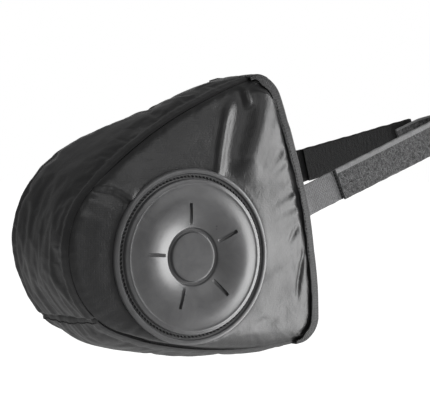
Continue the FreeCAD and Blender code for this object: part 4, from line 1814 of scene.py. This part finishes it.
def build_straps(thread: bpy.types.Material) -> None:
    """Make both straps with their fastening tapes.

    Args:
        thread: The thread of the row that holds the loop tape, whose dark stitches are also painted shade for
            the gap at that joint.
    """
    elastic = RibbedTape("elastic_webbing", "#606061", "#8f8f90", rib_spacing=1.25, thread_spacing=1.6,
                         roughness=0.8, relief=0.35).build()
    plain = RibbedTape("plain_webbing", "#0e0e0f", "#161617", rib_spacing=1.6, thread_spacing=1.6,
                       roughness=0.8, relief=0.25, sheen=0.0).build()
    loops = Pile("loop_pile", "#1d1d1e", "#6c6c6d", grain=1.9, relief=1.1, edge="#8c8c8d").build()
    hooks = Pile("hook_pile", "#0b0b0c", "#1b1b1c", grain=1.2, relief=0.6, roughness=0.75,
                 sheen=0.0).build()
    near = Strap("near_strap_webbing", "near_strap", Slot.ELASTIC, **NEAR_STRAP,
                 path=((-18.7, -27.85), (3.83, -19.2), (49.95, -16.33)), thickness=1.6, width=23.4,
                 rib_count=20, rib_height=0.22, seed=41)
    near.build(elastic)
    ahead, over, wide = near.axes()
    # A row of dark stitches across the strap where the loop tape starts: partly the seam that holds the tape,
    # partly painted shade for the dark gap at that joint.
    row_at, row_depth, row_half, row_count = 32.9, -18.5, 10.4, 9
    across = np.linspace(-row_half, row_half, row_count)[:, None]
    row = np.array([0, 0, near.height]) + row_at * ahead + row_depth * over + across * wide
    sewing = stitches("loop_tape_stitches_and_shade", row, np.broadcast_to(wide, row.shape),
                      np.broadcast_to(-over, row.shape), length=2.5, radius=0.6)
    dress(sewing, thread, Slot.LOOP)
    Strap("loop_tape_pile", "loop_tape", Slot.LOOP, **NEAR_STRAP,
          path=bend_path((34.07, -19.23), touch_height=-13.07, ahead=132.0, radius=13.1, end=114.0),
          thickness=2.2, ragged=0.35, seed=43).build(loops)
    Strap("far_strap_webbing", "far_strap", Slot.PLAIN, **FAR_STRAP,
          path=((-19.55, 20.87), (4.07, 17.0), (122.0, 17.0)), thickness=1.6,
          rib_count=16, rib_height=0.15, seed=45).build(plain)
    Strap("hook_tape_pile", "hook_tape", Slot.HOOK, **FAR_STRAP,
          path=((22.0, 15.2), (122.0, 15.2)), thickness=2.0, ragged=0.3, seed=47).build(hooks)


def main() -> None:
    """Build the studio and every piece in order."""
    logging.basicConfig(level=logging.INFO, format="%(message)s")
    Studio().build()
    form = PouchForm()
    cloth = CoatedNylon().build()
    tape = RibbedTape("binding_tape", "#1b1b1c", "#3c3c3d", rib_spacing=1.7, thread_spacing=1.9,
                      roughness=0.65, relief=0.4).build()
    thread = RibbedTape("sewing_thread", "#101011", "#242425", rib_spacing=0.5, thread_spacing=0.5,
                        roughness=0.6, relief=0.15).build()
    OuterPanel(form).build(cloth)
    InnerPanel(form).build(cloth)
    cross = form.cross_share()
    seam_length = lengths(form.seam(SEAM_POINTS))[-1]
    lap = CROSS_LAP / seam_length
    # The bottom band's belly hangs down ahead of the cross seam
    belly_at = cross * seam_length + BELLY_AHEAD
    belly = Fold(((belly_at, 8), (belly_at, 92)), 3.4, (11.0, 30.0))
    Gusset(form, "rear_gusset", 0.0, cross + lap, True, crown=0.6, gather_reach=34.0, seed=51,
           columns=190, folds=TOP_FOLDS).build(cloth, thread)
    Gusset(form, "bottom_gusset", cross - lap, 1.0, False, crown=1.2, gather_reach=10.0, seed=61,
           columns=110, folds=(belly,)).build(cloth, thread)
    MouthBinding(form).build(tape, thread)
    BumperDisc().build(MouldedRubber().build(), thread)
    build_straps(thread)


if __name__ == "__main__":
    main()
